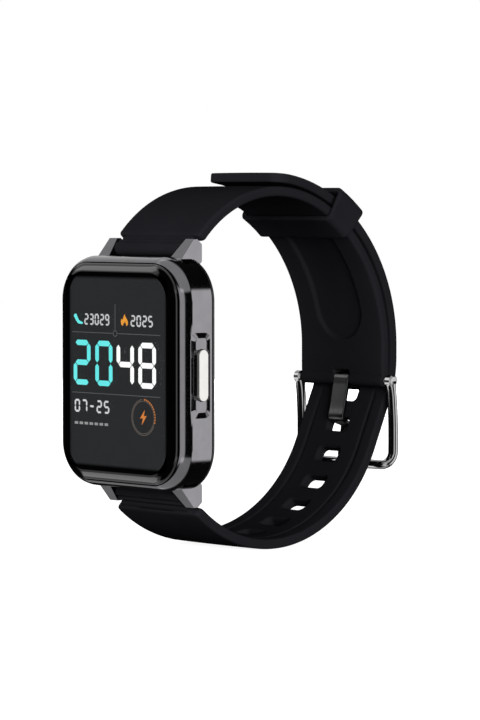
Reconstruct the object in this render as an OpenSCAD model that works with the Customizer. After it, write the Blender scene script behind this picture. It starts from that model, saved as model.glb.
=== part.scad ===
// Smartwatch on a closed strap: square case, silicone strap in two halves, tang buckle.
// Millimetres. +X is the button side, +Y runs from the display towards the wrist,
// +Z is the 12 o'clock side. The origin is the middle of the loop that the wrist fills.

/* [Case] */
// Case width, button side to plain side
case_w = 36.6; // [36:0.1:37.2]
// Case height, 12 to 6 o'clock
case_h = 44.5; // [44:0.1:45]
// Outer corner radius of the case
corner_r = 8.5; // [8:0.1:9]
// Depth from the front of the glass to the back edge of the side wall
wall_depth = 8.5; // [8.4:0.1:8.8]
// Width of the metal rim around the glass
rim_w = 1.2; // [1.1:0.1:1.3]
// Distance from the loop's middle to the front of the glass
face_dist = 30.4; // [30.4:0.1:30.8]

/* [Lugs] */
// Gap between the two lugs of a pair, for the 20 mm strap end
lug_gap = 20.2; // [20.1:0.1:20.3]
// Thickness of one lug
lug_t = 2.3; // [2:0.1:2.5]
// Height of the spring bars above and below the case's middle
bar_z = 24; // [23.9:0.05:24.1]
// Depth of the spring bars behind the glass front
bar_depth = 9.5; // [9.4:0.05:9.6]

/* [Side button] */
// Length of the pill-shaped button
button_l = 9.8; // [9:0.1:10.2]
// Width of the button
button_w = 2.4; // [2.2:0.1:2.6]
// Length of the scooped recess around the button
recess_l = 16; // [15:0.1:17]
// How far the button can be pressed
button_travel = 0.35; // [0.2:0.05:0.4]

/* [Strap] */
// Width of the strap where it leaves the lugs
strap_w = 24; // [23.6:0.1:24]
// Thickness of the strap
strap_t = 2; // [1.9:0.05:2.1]
// Width of the tail half from the buckle to its tip
tail_w = 21.8; // [21:0.1:22]
// Thickness of the tail half's outer layer
tail_t = 1.9; // [1.8:0.05:2]
// Number of adjustment holes
hole_count = 7; // [5:1:7]
// Distance between adjustment holes, along the strap
hole_pitch = 6.6; // [6.5:0.05:6.7]
// Length of an adjustment hole, across the strap
hole_l = 5.8; // [5:0.1:6]
// Width of an adjustment hole, along the strap
hole_w = 3; // [3:0.1:3.2]

/* [Buckle and keeper] */
// Inside width of the buckle frame
buckle_gap = 24.6; // [24.5:0.1:24.8]
// Thickness of a buckle arm
arm_t = 2; // [1.8:0.1:2.2]
// Width of the tongue
tongue_w = 4.2; // [3.8:0.1:4.3]
// Angle of the strap that the keeper covers
keeper_angle = 12; // [10:0.5:13]

/* [Hidden] */
$fn = 48;
eps = 0.01;

// Depths behind the front of the glass
glass_seam_d = 1.1;
glass_back_d = 1.7;
ledge_d = 1.9;
ledge_back_d = 3.2;
rim_back_d = 3.5;
rim_turn = 70;
display_back_d = 3.4;
carrier_front_d = 3.7;
carrier_floor_d = 4.3;
carrier_back_d = 7.7;
gasket_t = 0.2;
cover_front_d = wall_depth + gasket_t;
cover_pocket_d = 9.7;
cover_back_d = 10.7;
window_front_d = 11;
window_back_d = 11.8;

// Glass and the openings of the frame
glass_w = case_w - 2 * rim_w - 0.2;
glass_h = case_h - 2 * rim_w - 0.2;
glass_r = corner_r - rim_w - 0.1;
glass_curve = 1.9;
frame_wall = 1.5;
ledge_w = 1.5;
fit_gap = 0.1;

// Lugs, in depth and height
lug_root_d = 6;
lug_tip_d = 8.95;
lug_flat_d = 9.95;
lug_back_d = 11.1;
lug_toe_d = 10.05;
lug_top = 25.6;
lug_shoulder = 24.6;
lug_heel = 21.5;
lug_toe = 20.75;
lug_hole_depth = 1.2;

// Side button and its mechanism, in X
button_d = 6.2;
recess_d = 5.65;
recess_w = 4.1;
recess_floor_x = case_w / 2 - 0.55;
recess_floor_d = 5.5;
recess_end_d = 7.6;
pocket_floor_x = 16.1;
boss_face_x = 15.2;
button_top_x = case_w / 2 + 0.15;
button_base_x = 16.9;
stem_end_x = 14.5;
stem_r = 0.8;
groove_r = 0.6;
clip_t = 0.25;

// Strap paths in the side plane: [y, z] centres, inner radii and the angles between them
back_y = 29.2;
u1_r = 31;
u1_end = 61;
u2_r = 25.4;
u2_end = 138.7;
u1_c = [back_y - u1_r, 3.4];
u2_c = u1_c + (u1_r - u2_r) * [cos(u1_end), sin(u1_end)];
buckle_end_z = -3.2;
low_c = [0.3, -4.2];
low_r = 28.8;
low_start = -132;
low_end = -24;
climb_dir = [-sin(low_end), cos(low_end)];
climb_start = low_c + low_r * [cos(low_end), sin(low_end)];
tail_back_y = 32.6;
bend_r = 18;
climb_l = (tail_back_y - climb_start[0] - bend_r * (1 - cos(low_end))) / climb_dir[0];
climb_end = climb_start + climb_l * climb_dir;
bend_c = climb_end - bend_r * [cos(low_end), sin(low_end)];
top_r = 32.8;
top_c = [tail_back_y - top_r, 3.74];
tip_y = 1.9;
tip_corner_r = 3.2;
tip_angle = acos((tip_y - top_c[0]) / (top_r + tail_t));
edge_r = 0.5;
// Every second section is this much slimmer all round and reaches this far into its neighbours
slim = 0.03;
lap = 0.5;

// Adjustment holes, counted from the lowest point of the loop along the inner face
first_hole_s = 4.2;
arc_s = (low_end + 90) * PI / 180 * low_r;
groove_x = 7.6;
groove_w = 0.6;
groove_depth = 0.3;

// Recessed panel on the inner face of the buckle half
panel_w = 12.8;
panel_low_z = 4.8;
panel_depth = 0.4;

// Spring bars
barrel_r = 1.5;
tube_r = 0.75;
tube_bore_r = 0.54;
tube_lip = 0.25;
tip_body_r = 0.5;
pin_r = 0.4;
pin_hole_r = 0.44;
tip_body_l = 1.9;
bar_y = bar_depth - face_dist;
strap_end_w = lug_gap - 0.5;
strap_bore_r = 0.78;
spring_r = 0.4;
spring_wire_r = 0.08;
spring_coils = 9;
spring_sides = 5;
spring_steps = 9;
lug_tube_half = strap_end_w / 2 - 0.05;
lug_reach = lug_gap / 2 + lug_hole_depth - 0.2;
upper_bar = [bar_y, bar_z];
lower_bar = [bar_y, -bar_z];

// Buckle, in the side plane
hinge = [back_y + strap_t / 2 + 0.05, buckle_end_z];
hinge_barrel_r = 1.3;
buckle_tube_r = 0.7;
eye_r = 1.35;
arm_h = 1.6;
bow_c = [28.3, -17.3];
bow_r = 2.6;
front_bar = bow_c - [0, bow_r];
front_bar_r = 0.9;
buckle_tube_half = strap_w / 2 - 0.05;
buckle_hole_depth = 1.5;
buckle_reach = buckle_gap / 2 + buckle_hole_depth - 0.2;
notch_w = 4.8;
tongue_t = 0.8;
tongue_tip_w = 3.4;
tongue_s = 4.87;
hole_normal = [cos(low_end), sin(low_end)];
tongue_cross = climb_start + tongue_s * climb_dir;
tongue_in = tongue_cross - 0.75 * hole_normal;
tongue_out = tongue_cross + (strap_t + 0.65) * hole_normal;
tongue_tip = front_bar + [1.3, -0.9];
tongue_loop_r = 1.25;

// Keeper, around the centre of the buckle half's upper arc
keeper_mid = 53.5;
keeper_in_r = 29.8;
keeper_wall = 1;
keeper_cavity_r = 30.8;
keeper_cavity_end_r = 36.3;
keeper_out_r = 37.3;
keeper_gap_w = strap_w + 0.3;

// Battery, board, motor and sensor
battery_size = [24.3, 17.8, 3.3];
battery_at = [-0.35, -9.2];
board_size = [27, 17.8];
board_at = [-1.5, 9.9];
board_d = 5.2;
board_t = 0.8;
screw_at = [[-12.4, 4.2], [9.6, 4.2], [-1.5, 16.6]];
motor_at = [13.95, 6.1];
motor_r = 1.6;
motor_l = 5;
motor_top_z = -7.6;
weight_r = 1.35;
weight_l = 2;
shaft_r = 0.35;
dome_r = 8.5;
window_r = 5.7;
contact_x = 3.8;
contact_z = -13;
magnet_x = 8.6;

// --- Helpers -------------------------------------------------------------

// Places depth drawings: x stays, y becomes height, -z becomes depth behind the glass front
module from_face() {
    translate([0, -face_dist, 0]) rotate([90, 0, 0]) children();
}

// A plate between two depths, its outline drawn as seen from the front
module plate(d0, d1) {
    from_face() translate([0, 0, -d1]) linear_extrude(d1 - d0) children();
}

// Rounded rectangle with true arcs at its corners
module rounded(w, h, r) {
    square([w - 2 * r, h], center = true);
    square([w, h - 2 * r], center = true);
    for (x = [-1, 1], y = [-1, 1]) translate([x * (w / 2 - r), y * (h / 2 - r)]) circle(r);
}

// Solid with a rounded-rectangle outline whose edge follows a profile:
// the profile's x runs outwards from the corner centres, its y is minus the depth
module edge_swept(w, h, r, d0, d1) {
    span_x = w - 2 * r;
    span_z = h - 2 * r;
    plate(d0, d1) square([span_x, span_z], center = true);
    from_face() for (i = [0:3]) {
        along = i % 2 == 0 ? span_x : span_z;
        across = i % 2 == 0 ? span_z : span_x;
        rotate([0, 0, 90 * i]) translate([-along / 2, across / 2, 0]) {
            rotate([90, 0, 90]) linear_extrude(along) children();
            rotate([0, 0, 90]) rotate_extrude(angle = 90) children();
        }
    }
}

// Unit vector at an angle in the side plane
function dir(a) = [cos(a), sin(a)];

// Draws in the side plane: x becomes Y, y becomes Z, the extrusion runs along X
module side_view() {
    rotate([90, 0, 90]) children();
}

// A side-plane outline made w wide, centred on X = at
module across(w, at = 0) {
    side_view() translate([0, 0, at - w / 2]) linear_extrude(w) children();
}

// Strap section bent round a centre in the side plane
module bent_strap(c, r, a0, a1, w, t, inset = 0) {
    lap_angle = inset > 0 ? lap / r * 180 / PI : 0;
    side_view() translate(c) rotate([0, 0, a0 - lap_angle])
        rotate_extrude(angle = a1 - a0 + 2 * lap_angle, $fn = 96)
            translate([r + t / 2, 0]) rounded(t - 2 * inset, w - 2 * inset, edge_r);
}

// Straight strap section from one side-plane point to another, p and q on its inner face
module straight_strap(p, q, w, t, inset = 0) {
    run = q - p;
    ext = inset > 0 ? lap : 0;
    side_view() translate(p) rotate([0, 0, atan2(run[1], run[0])]) translate([-ext, 0, 0])
        rotate([90, 0, 90]) linear_extrude(norm(run) + 2 * ext)
            translate([-t / 2, 0]) rounded(t - 2 * inset, w - 2 * inset, edge_r);
}

// Flat bar with round ends between two side-plane points
module link(p, q, t) {
    run = q - p;
    translate(p) rotate([0, 0, atan2(run[1], run[0])]) translate([0, -t / 2]) square([norm(run), t]);
    translate(p) circle(t / 2);
    translate(q) circle(t / 2);
}

// Round bar along X, between x0 and x1, at a side-plane point
module x_rod(p, r, x0, x1) {
    side_view() translate([p[0], p[1], x0]) cylinder(h = x1 - x0, r = r);
}

// Annular sector in the side plane
module sector(c, r0, r1, a0, a1) {
    far = 2 * r1;
    mid = (a0 + a1) / 2;
    translate(c) difference() {
        intersection() {
            circle(r1, $fn = 96);
            polygon([[0, 0], far * [cos(a0), sin(a0)], far * [cos(mid), sin(mid)], far * [cos(a1), sin(a1)]]);
        }
        circle(r0, $fn = 96);
    }
}

// --- Case ------------------------------------------------------------------

// Lug outline in the side plane: depth and height for the upper pair
module lug_outline() {
    root = case_h / 2 - 1.2;
    polygon([
        [lug_root_d, root], [lug_root_d, root + 0.2], [lug_tip_d, lug_top], [lug_flat_d, lug_top],
        [lug_back_d, lug_shoulder], [lug_back_d, lug_heel], [lug_toe_d + 0.35, lug_toe],
        [lug_toe_d, lug_toe], [lug_toe_d - 0.35, lug_heel + 0.25], [wall_depth + 0.6, case_h / 2 + 0.1],
        [wall_depth, case_h / 2 + 0.1], [wall_depth, root]
    ]);
}

module lugs() {
    for (m = [0, 1], s = [-1, 1])
        mirror([0, 0, m]) translate([0, -face_dist, 0])
            across(lug_t, s * (lug_gap + lug_t) / 2) lug_outline();
}

module button_slot(l, w, x0, x1, d = button_d) {
    translate([x0, d - face_dist, 0]) rotate([0, 90, 0]) linear_extrude(x1 - x0) {
        square([l - w, w], center = true);
        for (s = [-1, 1]) translate([s * (l - w) / 2, 0]) circle(w / 2);
    }
}

// The scoop: its floor slopes in from the rim, then runs level under the button
module button_scoop() {
    intersection() {
        button_slot(recess_l, recess_w, recess_floor_x - 1, case_w / 2 + 1, recess_d);
        translate([0, -face_dist, -recess_l]) linear_extrude(2 * recess_l) polygon([
            [case_w / 2 + 1, rim_back_d], [case_w / 2, rim_back_d], [recess_floor_x, recess_floor_d],
            [recess_floor_x, recess_end_d], [case_w / 2 + 1, recess_end_d + 0.2]
        ]);
    }
}

module rim_profile() {
    lip = corner_r - rim_w + 0.1;
    polygon(concat(
        [[0, -wall_depth], [0, -glass_seam_d], [lip, -glass_seam_d]],
        [for (a = [14:14:rim_turn]) [lip + (corner_r - lip) * sin(a) / sin(rim_turn),
            -glass_seam_d - (rim_back_d - glass_seam_d) * (1 - cos(a)) / (1 - cos(rim_turn))]],
        [[corner_r, -wall_depth]]
    ));
}

module case_frame() {
    color([0.42, 0.41, 0.43]) difference() {
        union() {
            difference() {
                edge_swept(case_w, case_h, corner_r, glass_seam_d, wall_depth) rim_profile();
                plate(glass_seam_d - 1, ledge_d)
                    rounded(glass_w + 2 * fit_gap, glass_h + 2 * fit_gap, glass_r + fit_gap);
                plate(ledge_d - 1, ledge_back_d + 1)
                    rounded(glass_w - 2 * ledge_w, glass_h - 2 * ledge_w, glass_r - ledge_w);
                plate(ledge_back_d, wall_depth + 1)
                    rounded(case_w - 2 * frame_wall, case_h - 2 * frame_wall, corner_r - frame_wall);
            }
            lugs();
            boss_w = case_w / 2 - frame_wall - boss_face_x + 0.2;
            translate([boss_face_x, carrier_floor_d + 0.1 - face_dist, -button_l / 2 - 1.3])
                cube([boss_w, 3.9, button_l + 2.6]);
        }
        button_scoop();
        button_slot(button_l + 0.2, button_w + 0.2, pocket_floor_x, case_w / 2);
        translate([0, button_d - face_dist, 0]) rotate([0, 90, 0]) {
            translate([0, 0, boss_face_x - 1]) cylinder(h = 3, r = stem_r + 0.04);
            translate([0, 0, pocket_floor_x - 0.6]) cylinder(h = 1, r = 1.3);
        }
        for (m = [-1, 1]) x_rod([bar_y, m * bar_z], pin_hole_r, -lug_gap / 2 - lug_hole_depth,
            lug_gap / 2 + lug_hole_depth);
    }
}

module glass_profile() {
    top = glass_r - glass_curve;
    polygon(concat(
        [[0, -glass_back_d], [0, 0], [top, 0]],
        [for (a = [15:15:90]) [top + glass_curve * sin(a), -glass_seam_d + glass_seam_d * cos(a)]],
        [[glass_r, -glass_back_d]]
    ));
}

module cover_glass() {
    color([0.03, 0.03, 0.035]) edge_swept(glass_w, glass_h, glass_r, 0, glass_back_d) glass_profile();
}

module glass_adhesive() {
    color([0.1, 0.1, 0.1]) plate(glass_back_d, ledge_d) difference() {
        rounded(glass_w - 0.2, glass_h - 0.2, glass_r - 0.1);
        rounded(glass_w - 2.6, glass_h - 2.6, glass_r - 1.3);
    }
}

module display_panel() {
    color([0.17, 0.17, 0.18]) plate(glass_back_d, display_back_d)
        rounded(glass_w - 2 * ledge_w - 0.4, glass_h - 2 * ledge_w - 0.4, glass_r - ledge_w - 0.2);
}

// --- Inside the case ---------------------------------------------------------

module inner_outline(inset) {
    gap = frame_wall + 0.35 + inset;
    rounded(case_w - 2 * gap, case_h - 2 * gap, corner_r - gap);
}

module inner_carrier() {
    switch_x = 12.3;
    color([0.2, 0.2, 0.2]) {
        plate(carrier_front_d, carrier_floor_d) inner_outline(0);
        difference() {
            plate(carrier_floor_d, carrier_back_d) difference() {
                inner_outline(0);
                inner_outline(0.8);
            }
            translate([switch_x, carrier_floor_d - face_dist - eps, -7]) cube([8, 5, 14]);
        }
        translate([switch_x, carrier_floor_d - face_dist, -3]) cube([0.6, 3.3, 6]);
        for (p = screw_at) plate(carrier_floor_d, board_d) translate(p) difference() {
            circle(1.2);
            circle(0.55);
        }
    }
}

module main_board() {
    color([0.05, 0.25, 0.12]) plate(board_d, board_d + board_t) difference() {
        translate(board_at) rounded(board_size[0], board_size[1], 4.6);
        for (p = screw_at) translate(p) circle(0.65);
    }
}

module board_chips() {
    top = board_d + board_t;
    color([0.08, 0.08, 0.09]) {
        plate(top, top + 0.9) translate([-6.5, 11]) square([6, 6], center = true);
        plate(top, top + 0.8) translate([3.6, 12]) square([5, 4], center = true);
        plate(top, top + 0.7) translate([2.8, 6.4]) square([4, 3], center = true);
        plate(top, top + 0.6) translate([-4.2, 4.6]) square([2.5, 2], center = true);
    }
}

module board_screws() {
    color([0.75, 0.75, 0.77]) for (p = screw_at) {
        plate(board_d + board_t, board_d + board_t + 0.5) translate(p) circle(1);
        plate(carrier_floor_d + 0.1, board_d + board_t) translate(p) circle(0.5);
    }
}

module battery() {
    front = carrier_floor_d;
    color([0.75, 0.76, 0.78]) plate(front, front + battery_size[2])
        translate(battery_at) rounded(battery_size[0], battery_size[1], 1);
}

module motor_can() {
    color([0.7, 0.7, 0.72]) translate([motor_at[0], motor_at[1] - face_dist, motor_top_z - motor_l])
        difference() {
            cylinder(h = motor_l, r = motor_r);
            translate([0, 0, -1]) cylinder(h = 4, r = shaft_r + 0.03);
        }
}

module motor_weight() {
    color([0.35, 0.35, 0.37]) translate([motor_at[0], motor_at[1] - face_dist, motor_top_z - motor_l]) {
        translate([0, 0, -0.3 - weight_l]) cylinder(h = weight_l + 3.1, r = shaft_r);
        translate([0, 0, -0.3 - weight_l]) difference() {
            cylinder(h = weight_l, r = weight_r);
            translate([-3, 0, -1]) cube([6, 3, weight_l + 2]);
        }
    }
}

// --- Side button -------------------------------------------------------------

module along_button() {
    translate([0, button_d - face_dist, 0]) rotate([0, 90, 0]) children();
}

module side_button() {
    groove_x0 = boss_face_x - 0.1 - clip_t;
    color([0.75, 0.75, 0.75]) {
        button_slot(button_l, button_w, button_base_x, button_top_x);
        along_button() difference() {
            translate([0, 0, stem_end_x]) cylinder(h = button_base_x - stem_end_x, r = stem_r);
            translate([0, 0, groove_x0]) difference() {
                cylinder(h = clip_t, r = stem_r + 1);
                cylinder(h = clip_t, r = groove_r);
            }
        }
    }
}

module button_seal() {
    color([0.05, 0.05, 0.05]) along_button() translate([0, 0, pocket_floor_x - 0.3])
        rotate_extrude() translate([1.06, 0]) circle(0.22);
}

module button_clip() {
    color([0.6, 0.6, 0.6]) along_button() translate([0, 0, boss_face_x - 0.1 - clip_t])
        linear_extrude(clip_t) difference() {
            circle(1.3);
            circle(groove_r + 0.01);
            translate([0, -0.45]) square([2, 0.9]);
        }
}

module switch_plunger() {
    color([0.85, 0.3, 0.1]) along_button() translate([0, 0, stem_end_x - 0.8]) cylinder(h = 0.8, r = 0.6);
}

module button_switch() {
    color([0.3, 0.3, 0.32]) difference() {
        translate([12.9, button_d - 1.4 - face_dist, -1.75]) cube([1.1, 2.8, 3.5]);
        along_button() translate([0, 0, stem_end_x - 0.8 - button_travel - 0.1]) cylinder(h = 2, r = 0.65);
    }
}

// --- Rear cover and sensor ----------------------------------------------------

module cover_profile() {
    edge = corner_r - 0.1;
    polygon([[0, -cover_front_d], [edge, -cover_front_d], [edge, -cover_front_d - 0.3],
        [edge - 0.5, -9.5], [edge - 2.6, -10.3], [edge - 4.6, -cover_back_d], [0, -cover_back_d]]);
}

module rear_cover() {
    color([0.03, 0.03, 0.035]) difference() {
        union() {
            edge_swept(case_w - 0.2, case_h - 0.2, corner_r - 0.1, cover_front_d, cover_back_d) cover_profile();
            plate(carrier_back_d + 0.1, cover_front_d) difference() {
                inner_outline(-0.2);
                inner_outline(0.7);
            }
            from_face() translate([0, 0, -window_back_d + 0.2]) cylinder(h = 1.2, r1 = dome_r - 0.8, r2 = dome_r);
        }
        plate(carrier_back_d, cover_pocket_d) inner_outline(0.7);
        plate(cover_pocket_d - 1, window_back_d) circle(window_r - 0.5);
        plate(window_front_d, window_back_d) circle(window_r + 0.05);
        for (s = [-1, 1]) {
            plate(cover_pocket_d - 1, cover_back_d) translate([s * contact_x, contact_z]) circle(0.62);
            plate(cover_back_d - 0.25, cover_back_d + 1) translate([s * contact_x, contact_z]) circle(1.25);
        }
        translate([14.6, carrier_back_d - face_dist, -6.6]) cube([4, wall_depth - carrier_back_d, 13.2]);
    }
}

module rear_gasket() {
    color([0.04, 0.04, 0.04]) plate(wall_depth, cover_front_d) difference() {
        rounded(case_w - 0.6, case_h - 0.6, corner_r - 0.3);
        rounded(case_w - 2 * frame_wall + 0.2, case_h - 2 * frame_wall + 0.2, corner_r - frame_wall + 0.1);
    }
}

module sensor_window() {
    color([0.02, 0.02, 0.025]) {
        plate(window_front_d, window_back_d - 0.2) circle(window_r);
        from_face() translate([0, 0, -window_back_d]) cylinder(h = 0.2, r1 = window_r - 0.8, r2 = window_r);
    }
}

module sensor_board() {
    color([0.05, 0.25, 0.12]) plate(cover_pocket_d - 0.7, cover_pocket_d) circle(6.6);
}

module sensor_leds() {
    color([0.2, 0.8, 0.3]) {
        for (s = [-1, 1]) plate(cover_pocket_d, cover_pocket_d + 0.7)
            translate([s * 2.6, 0]) square([1.6, 2], center = true);
        plate(cover_pocket_d, cover_pocket_d + 0.8) square([2, 2], center = true);
    }
}

module charging_contacts() {
    color([0.85, 0.7, 0.35]) for (s = [-1, 1]) {
        plate(cover_back_d - 0.25, cover_back_d + 0.05) translate([s * contact_x, contact_z]) circle(1.2);
        plate(cover_pocket_d - 0.4, cover_back_d - 0.25) translate([s * contact_x, contact_z]) circle(0.6);
    }
}

module charging_magnets() {
    color([0.6, 0.6, 0.62]) for (s = [-1, 1])
        plate(cover_pocket_d - 0.9, cover_pocket_d) translate([s * magnet_x, contact_z]) circle(1.5);
}

// --- Strap ----------------------------------------------------------------------

// Barrel and neck of a strap end between the lugs, on from a section bent round c that ends at angle a;
// m is +1 for the upper pair, side is the way the strap's angle runs, front and rear are on the barrel
module strap_end(m, c, r, a, side, front, rear) {
    bar = [bar_y, m * bar_z];
    root = a - side * lap / r * 180 / PI;
    r0 = r + 2 * slim;
    r1 = r + strap_t - 2 * slim;
    across(strap_end_w) {
        translate(bar) circle(barrel_r);
        polygon([c + r0 * dir(a), c + r0 * dir(root), c + r1 * dir(root), c + r1 * dir(a),
            bar + front, bar + rear]);
    }
}

// Recessed panel on the inner face, running under the keeper
module inner_panel() {
    intersection() {
        across(panel_w) sector(u1_c, u1_r - 1, u1_r + panel_depth, 0, u1_end);
        translate([0, u1_c[0] + u1_r / 3, 0]) rotate([-90, 0, 0]) linear_extrude(40)
            for (z = [0:1]) translate([0, -(panel_low_z + panel_w / 2 + z * 10)]) {
                circle(panel_w / 2);
                translate([-panel_w / 2, -20]) square([panel_w, 20]);
            }
    }
}

module buckle_strap() {
    color([0.05, 0.05, 0.055]) difference() {
        union() {
            strap_end(1, u2_c, u2_r, u2_end, 1, [-1.1, 1], [1.05, -1.05]);
            bent_strap(u2_c, u2_r, u1_end, u2_end, strap_w, strap_t);
            bent_strap(u1_c, u1_r, 0, u1_end, strap_w, strap_t, slim);
            straight_strap([back_y, buckle_end_z], [back_y, u1_c[1]], strap_w, strap_t);
            across(strap_w) translate(hinge) circle(hinge_barrel_r);
        }
        inner_panel();
        x_rod([bar_y, bar_z], strap_bore_r, -strap_w, strap_w);
        x_rod(hinge, buckle_tube_r + 0.03, -strap_w, strap_w);
        translate([-notch_w / 2, hinge[0] - 3, hinge[1] - 3]) cube([notch_w, 6, 5]);
    }
}

// Place of hole k: on the arc first, then on the straight climb to the outer layer
module at_hole(k) {
    s = first_hole_s + k * hole_pitch;
    on_arc = s < arc_s;
    a = on_arc ? s / low_r * 180 / PI - 90 : low_end;
    p = on_arc ? low_c + low_r * [cos(a), sin(a)] : climb_start + (s - arc_s) * climb_dir;
    side_view() translate(p) rotate([0, 0, a]) rotate([0, 90, 0]) children();
}

// Wedge that narrows the strap from the lugs to the buckle
module taper() {
    y0 = -19.5;
    y1 = climb_start[0];
    translate([0, 0, -40]) linear_extrude(60)
        polygon([[-strap_w / 2, -40], [strap_w / 2, -40], [strap_w / 2, y0], [tail_w / 2, y1],
            [tail_w / 2, 40], [-tail_w / 2, 40], [-tail_w / 2, y1], [-strap_w / 2, y0]]);
}

module tail_grooves() {
    for (s = [-1, 1]) {
        across(groove_w, s * groove_x) sector(low_c, low_r - 1, low_r + groove_depth, -100, low_end);
        across(groove_w, s * groove_x) link(climb_start, climb_end, 2 * groove_depth - 0.1);
    }
}

// The tip's two rounded corners, seen from above
module tip_corners() {
    c = tip_corner_r;
    for (s = [-1, 1]) translate([s * (tail_w / 2 - c), tip_y + c, 30]) linear_extrude(20) difference() {
        translate([s > 0 ? 0 : -c - 1, -c - 2]) square([c + 1, c + 2]);
        circle(c);
    }
}

module tail_strap() {
    color([0.05, 0.05, 0.055]) difference() {
        union() {
            strap_end(-1, low_c, low_r, low_start, -1, [-1.3, -0.75], [1.2, 0.9]);
            intersection() {
                bent_strap(low_c, low_r, low_start, low_end, strap_w, strap_t);
                taper();
            }
            straight_strap(climb_start, climb_end, tail_w, strap_t, slim);
            bent_strap(bend_c, bend_r, low_end, 0, tail_w, strap_t);
            straight_strap([tail_back_y, bend_c[1]], [tail_back_y, top_c[1]], tail_w, tail_t, slim);
            bent_strap(top_c, top_r, 0, tip_angle, tail_w, tail_t);
        }
        x_rod([bar_y, -bar_z], strap_bore_r, -strap_w, strap_w);
        tail_grooves();
        tip_corners();
        for (k = [0:hole_count - 1]) at_hole(k)
            translate([0, 0, -1]) linear_extrude(4) rounded(hole_l, hole_w, 1);
    }
}

module strap_keeper() {
    outer_t = keeper_out_r - keeper_in_r;
    cavity_t = keeper_cavity_end_r - keeper_cavity_r;
    a0 = keeper_mid - keeper_angle / 2;
    color([0.05, 0.05, 0.055]) side_view() translate(u1_c) rotate([0, 0, a0])
        rotate_extrude(angle = keeper_angle, $fn = 96) difference() {
            translate([(keeper_in_r + keeper_out_r) / 2, 0])
                rounded(outer_t, keeper_gap_w + 2 * keeper_wall, 1.2);
            translate([(keeper_cavity_r + keeper_cavity_end_r) / 2, 0])
                rounded(cavity_t, keeper_gap_w, 0.3);
        }
}

// --- Spring bars ------------------------------------------------------------------

// Tube along X, half_l long each way, swaged at both ends to keep its tips in
module bar_tube(p, half_l, r) {
    difference() {
        x_rod(p, r, -half_l, half_l);
        x_rod(p, tube_bore_r, -half_l + tube_lip, half_l - tube_lip);
        x_rod(p, pin_hole_r, -half_l - 1, half_l + 1);
    }
}

// Sprung tip on side s: a body inside the tube and a pin that reaches out
module bar_tip(p, half_l, reach, s) {
    inner_end = half_l - tube_lip - 0.02;
    mirror([s < 0 ? 1 : 0, 0, 0]) {
        x_rod(p, tip_body_r, inner_end - tip_body_l, inner_end);
        x_rod(p, pin_r, inner_end, reach);
    }
}

// Coil spring between the two tips, one ring of points per step
module bar_spring(p, half_l) {
    end = half_l - tube_lip - tip_body_l - 0.15 - spring_wire_r;
    n = spring_coils * spring_steps;
    function ring(i) = [for (j = [0:spring_sides - 1])
        let (turn = 360 * i / spring_steps, a = 360 * j / spring_sides,
            r = spring_r + spring_wire_r * cos(a))
        [r * cos(turn), r * sin(turn), -end + 2 * end * i / n + spring_wire_r * sin(a)]];
    points = [for (i = [0:n]) each ring(i)];
    sides = [for (i = [0:n - 1], j = [0:spring_sides - 1])
        let (k = (j + 1) % spring_sides, b = i * spring_sides, c = b + spring_sides)
        each [[b + j, c + k, c + j], [b + j, b + k, c + k]]];
    caps = [[for (j = [spring_sides - 1:-1:0]) j], [for (j = [0:spring_sides - 1]) n * spring_sides + j]];
    side_view() translate([p[0], p[1], 0]) polyhedron(points, concat(sides, caps));
}

module upper_bar_tube() { color([0.7, 0.7, 0.7]) bar_tube(upper_bar, lug_tube_half, tube_r); }
module upper_bar_spring() { color([0.6, 0.6, 0.6]) bar_spring(upper_bar, lug_tube_half); }
module upper_tip_left() { color([0.8, 0.8, 0.8]) bar_tip(upper_bar, lug_tube_half, lug_reach, -1); }
module upper_tip_right() { color([0.8, 0.8, 0.8]) bar_tip(upper_bar, lug_tube_half, lug_reach, 1); }
module lower_bar_tube() { color([0.7, 0.7, 0.7]) bar_tube(lower_bar, lug_tube_half, tube_r); }
module lower_bar_spring() { color([0.6, 0.6, 0.6]) bar_spring(lower_bar, lug_tube_half); }
module lower_tip_left() { color([0.8, 0.8, 0.8]) bar_tip(lower_bar, lug_tube_half, lug_reach, -1); }
module lower_tip_right() { color([0.8, 0.8, 0.8]) bar_tip(lower_bar, lug_tube_half, lug_reach, 1); }
module buckle_bar_tube() { color([0.7, 0.7, 0.7]) bar_tube(hinge, buckle_tube_half, buckle_tube_r); }
module buckle_bar_spring() { color([0.6, 0.6, 0.6]) bar_spring(hinge, buckle_tube_half); }
module buckle_tip_left() { color([0.8, 0.8, 0.8]) bar_tip(hinge, buckle_tube_half, buckle_reach, -1); }
module buckle_tip_right() { color([0.8, 0.8, 0.8]) bar_tip(hinge, buckle_tube_half, buckle_reach, 1); }

// --- Buckle -----------------------------------------------------------------------

module buckle_frame() {
    arm_top = bow_c + [bow_r, 0];
    color([0.62, 0.62, 0.61]) difference() {
        union() {
            for (s = [-1, 1]) across(arm_t, s * (buckle_gap + arm_t) / 2) {
                translate(hinge) circle(eye_r);
                link(hinge, arm_top, arm_h);
                sector(bow_c, bow_r - arm_h / 2, bow_r + arm_h / 2, -90, 0);
                translate(front_bar) circle(front_bar_r);
            }
            x_rod(front_bar, front_bar_r, -buckle_gap / 2 - 0.5, buckle_gap / 2 + 0.5);
        }
        x_rod(hinge, pin_hole_r, -buckle_gap / 2 - buckle_hole_depth, buckle_gap / 2 + buckle_hole_depth);
    }
}

module buckle_tongue() {
    root = hinge + [-tongue_loop_r + tongue_t / 2, -0.3];
    color([0.3, 0.3, 0.31]) difference() {
        union() {
            across(tongue_w) {
                translate(hinge) circle(tongue_loop_r);
                link(root, tongue_in, tongue_t);
            }
            across(tongue_tip_w) {
                link(tongue_in, tongue_out, tongue_t);
                link(tongue_out, tongue_tip, tongue_t);
            }
        }
        x_rod(hinge, buckle_tube_r + 0.04, -strap_w, strap_w);
    }
}

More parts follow.
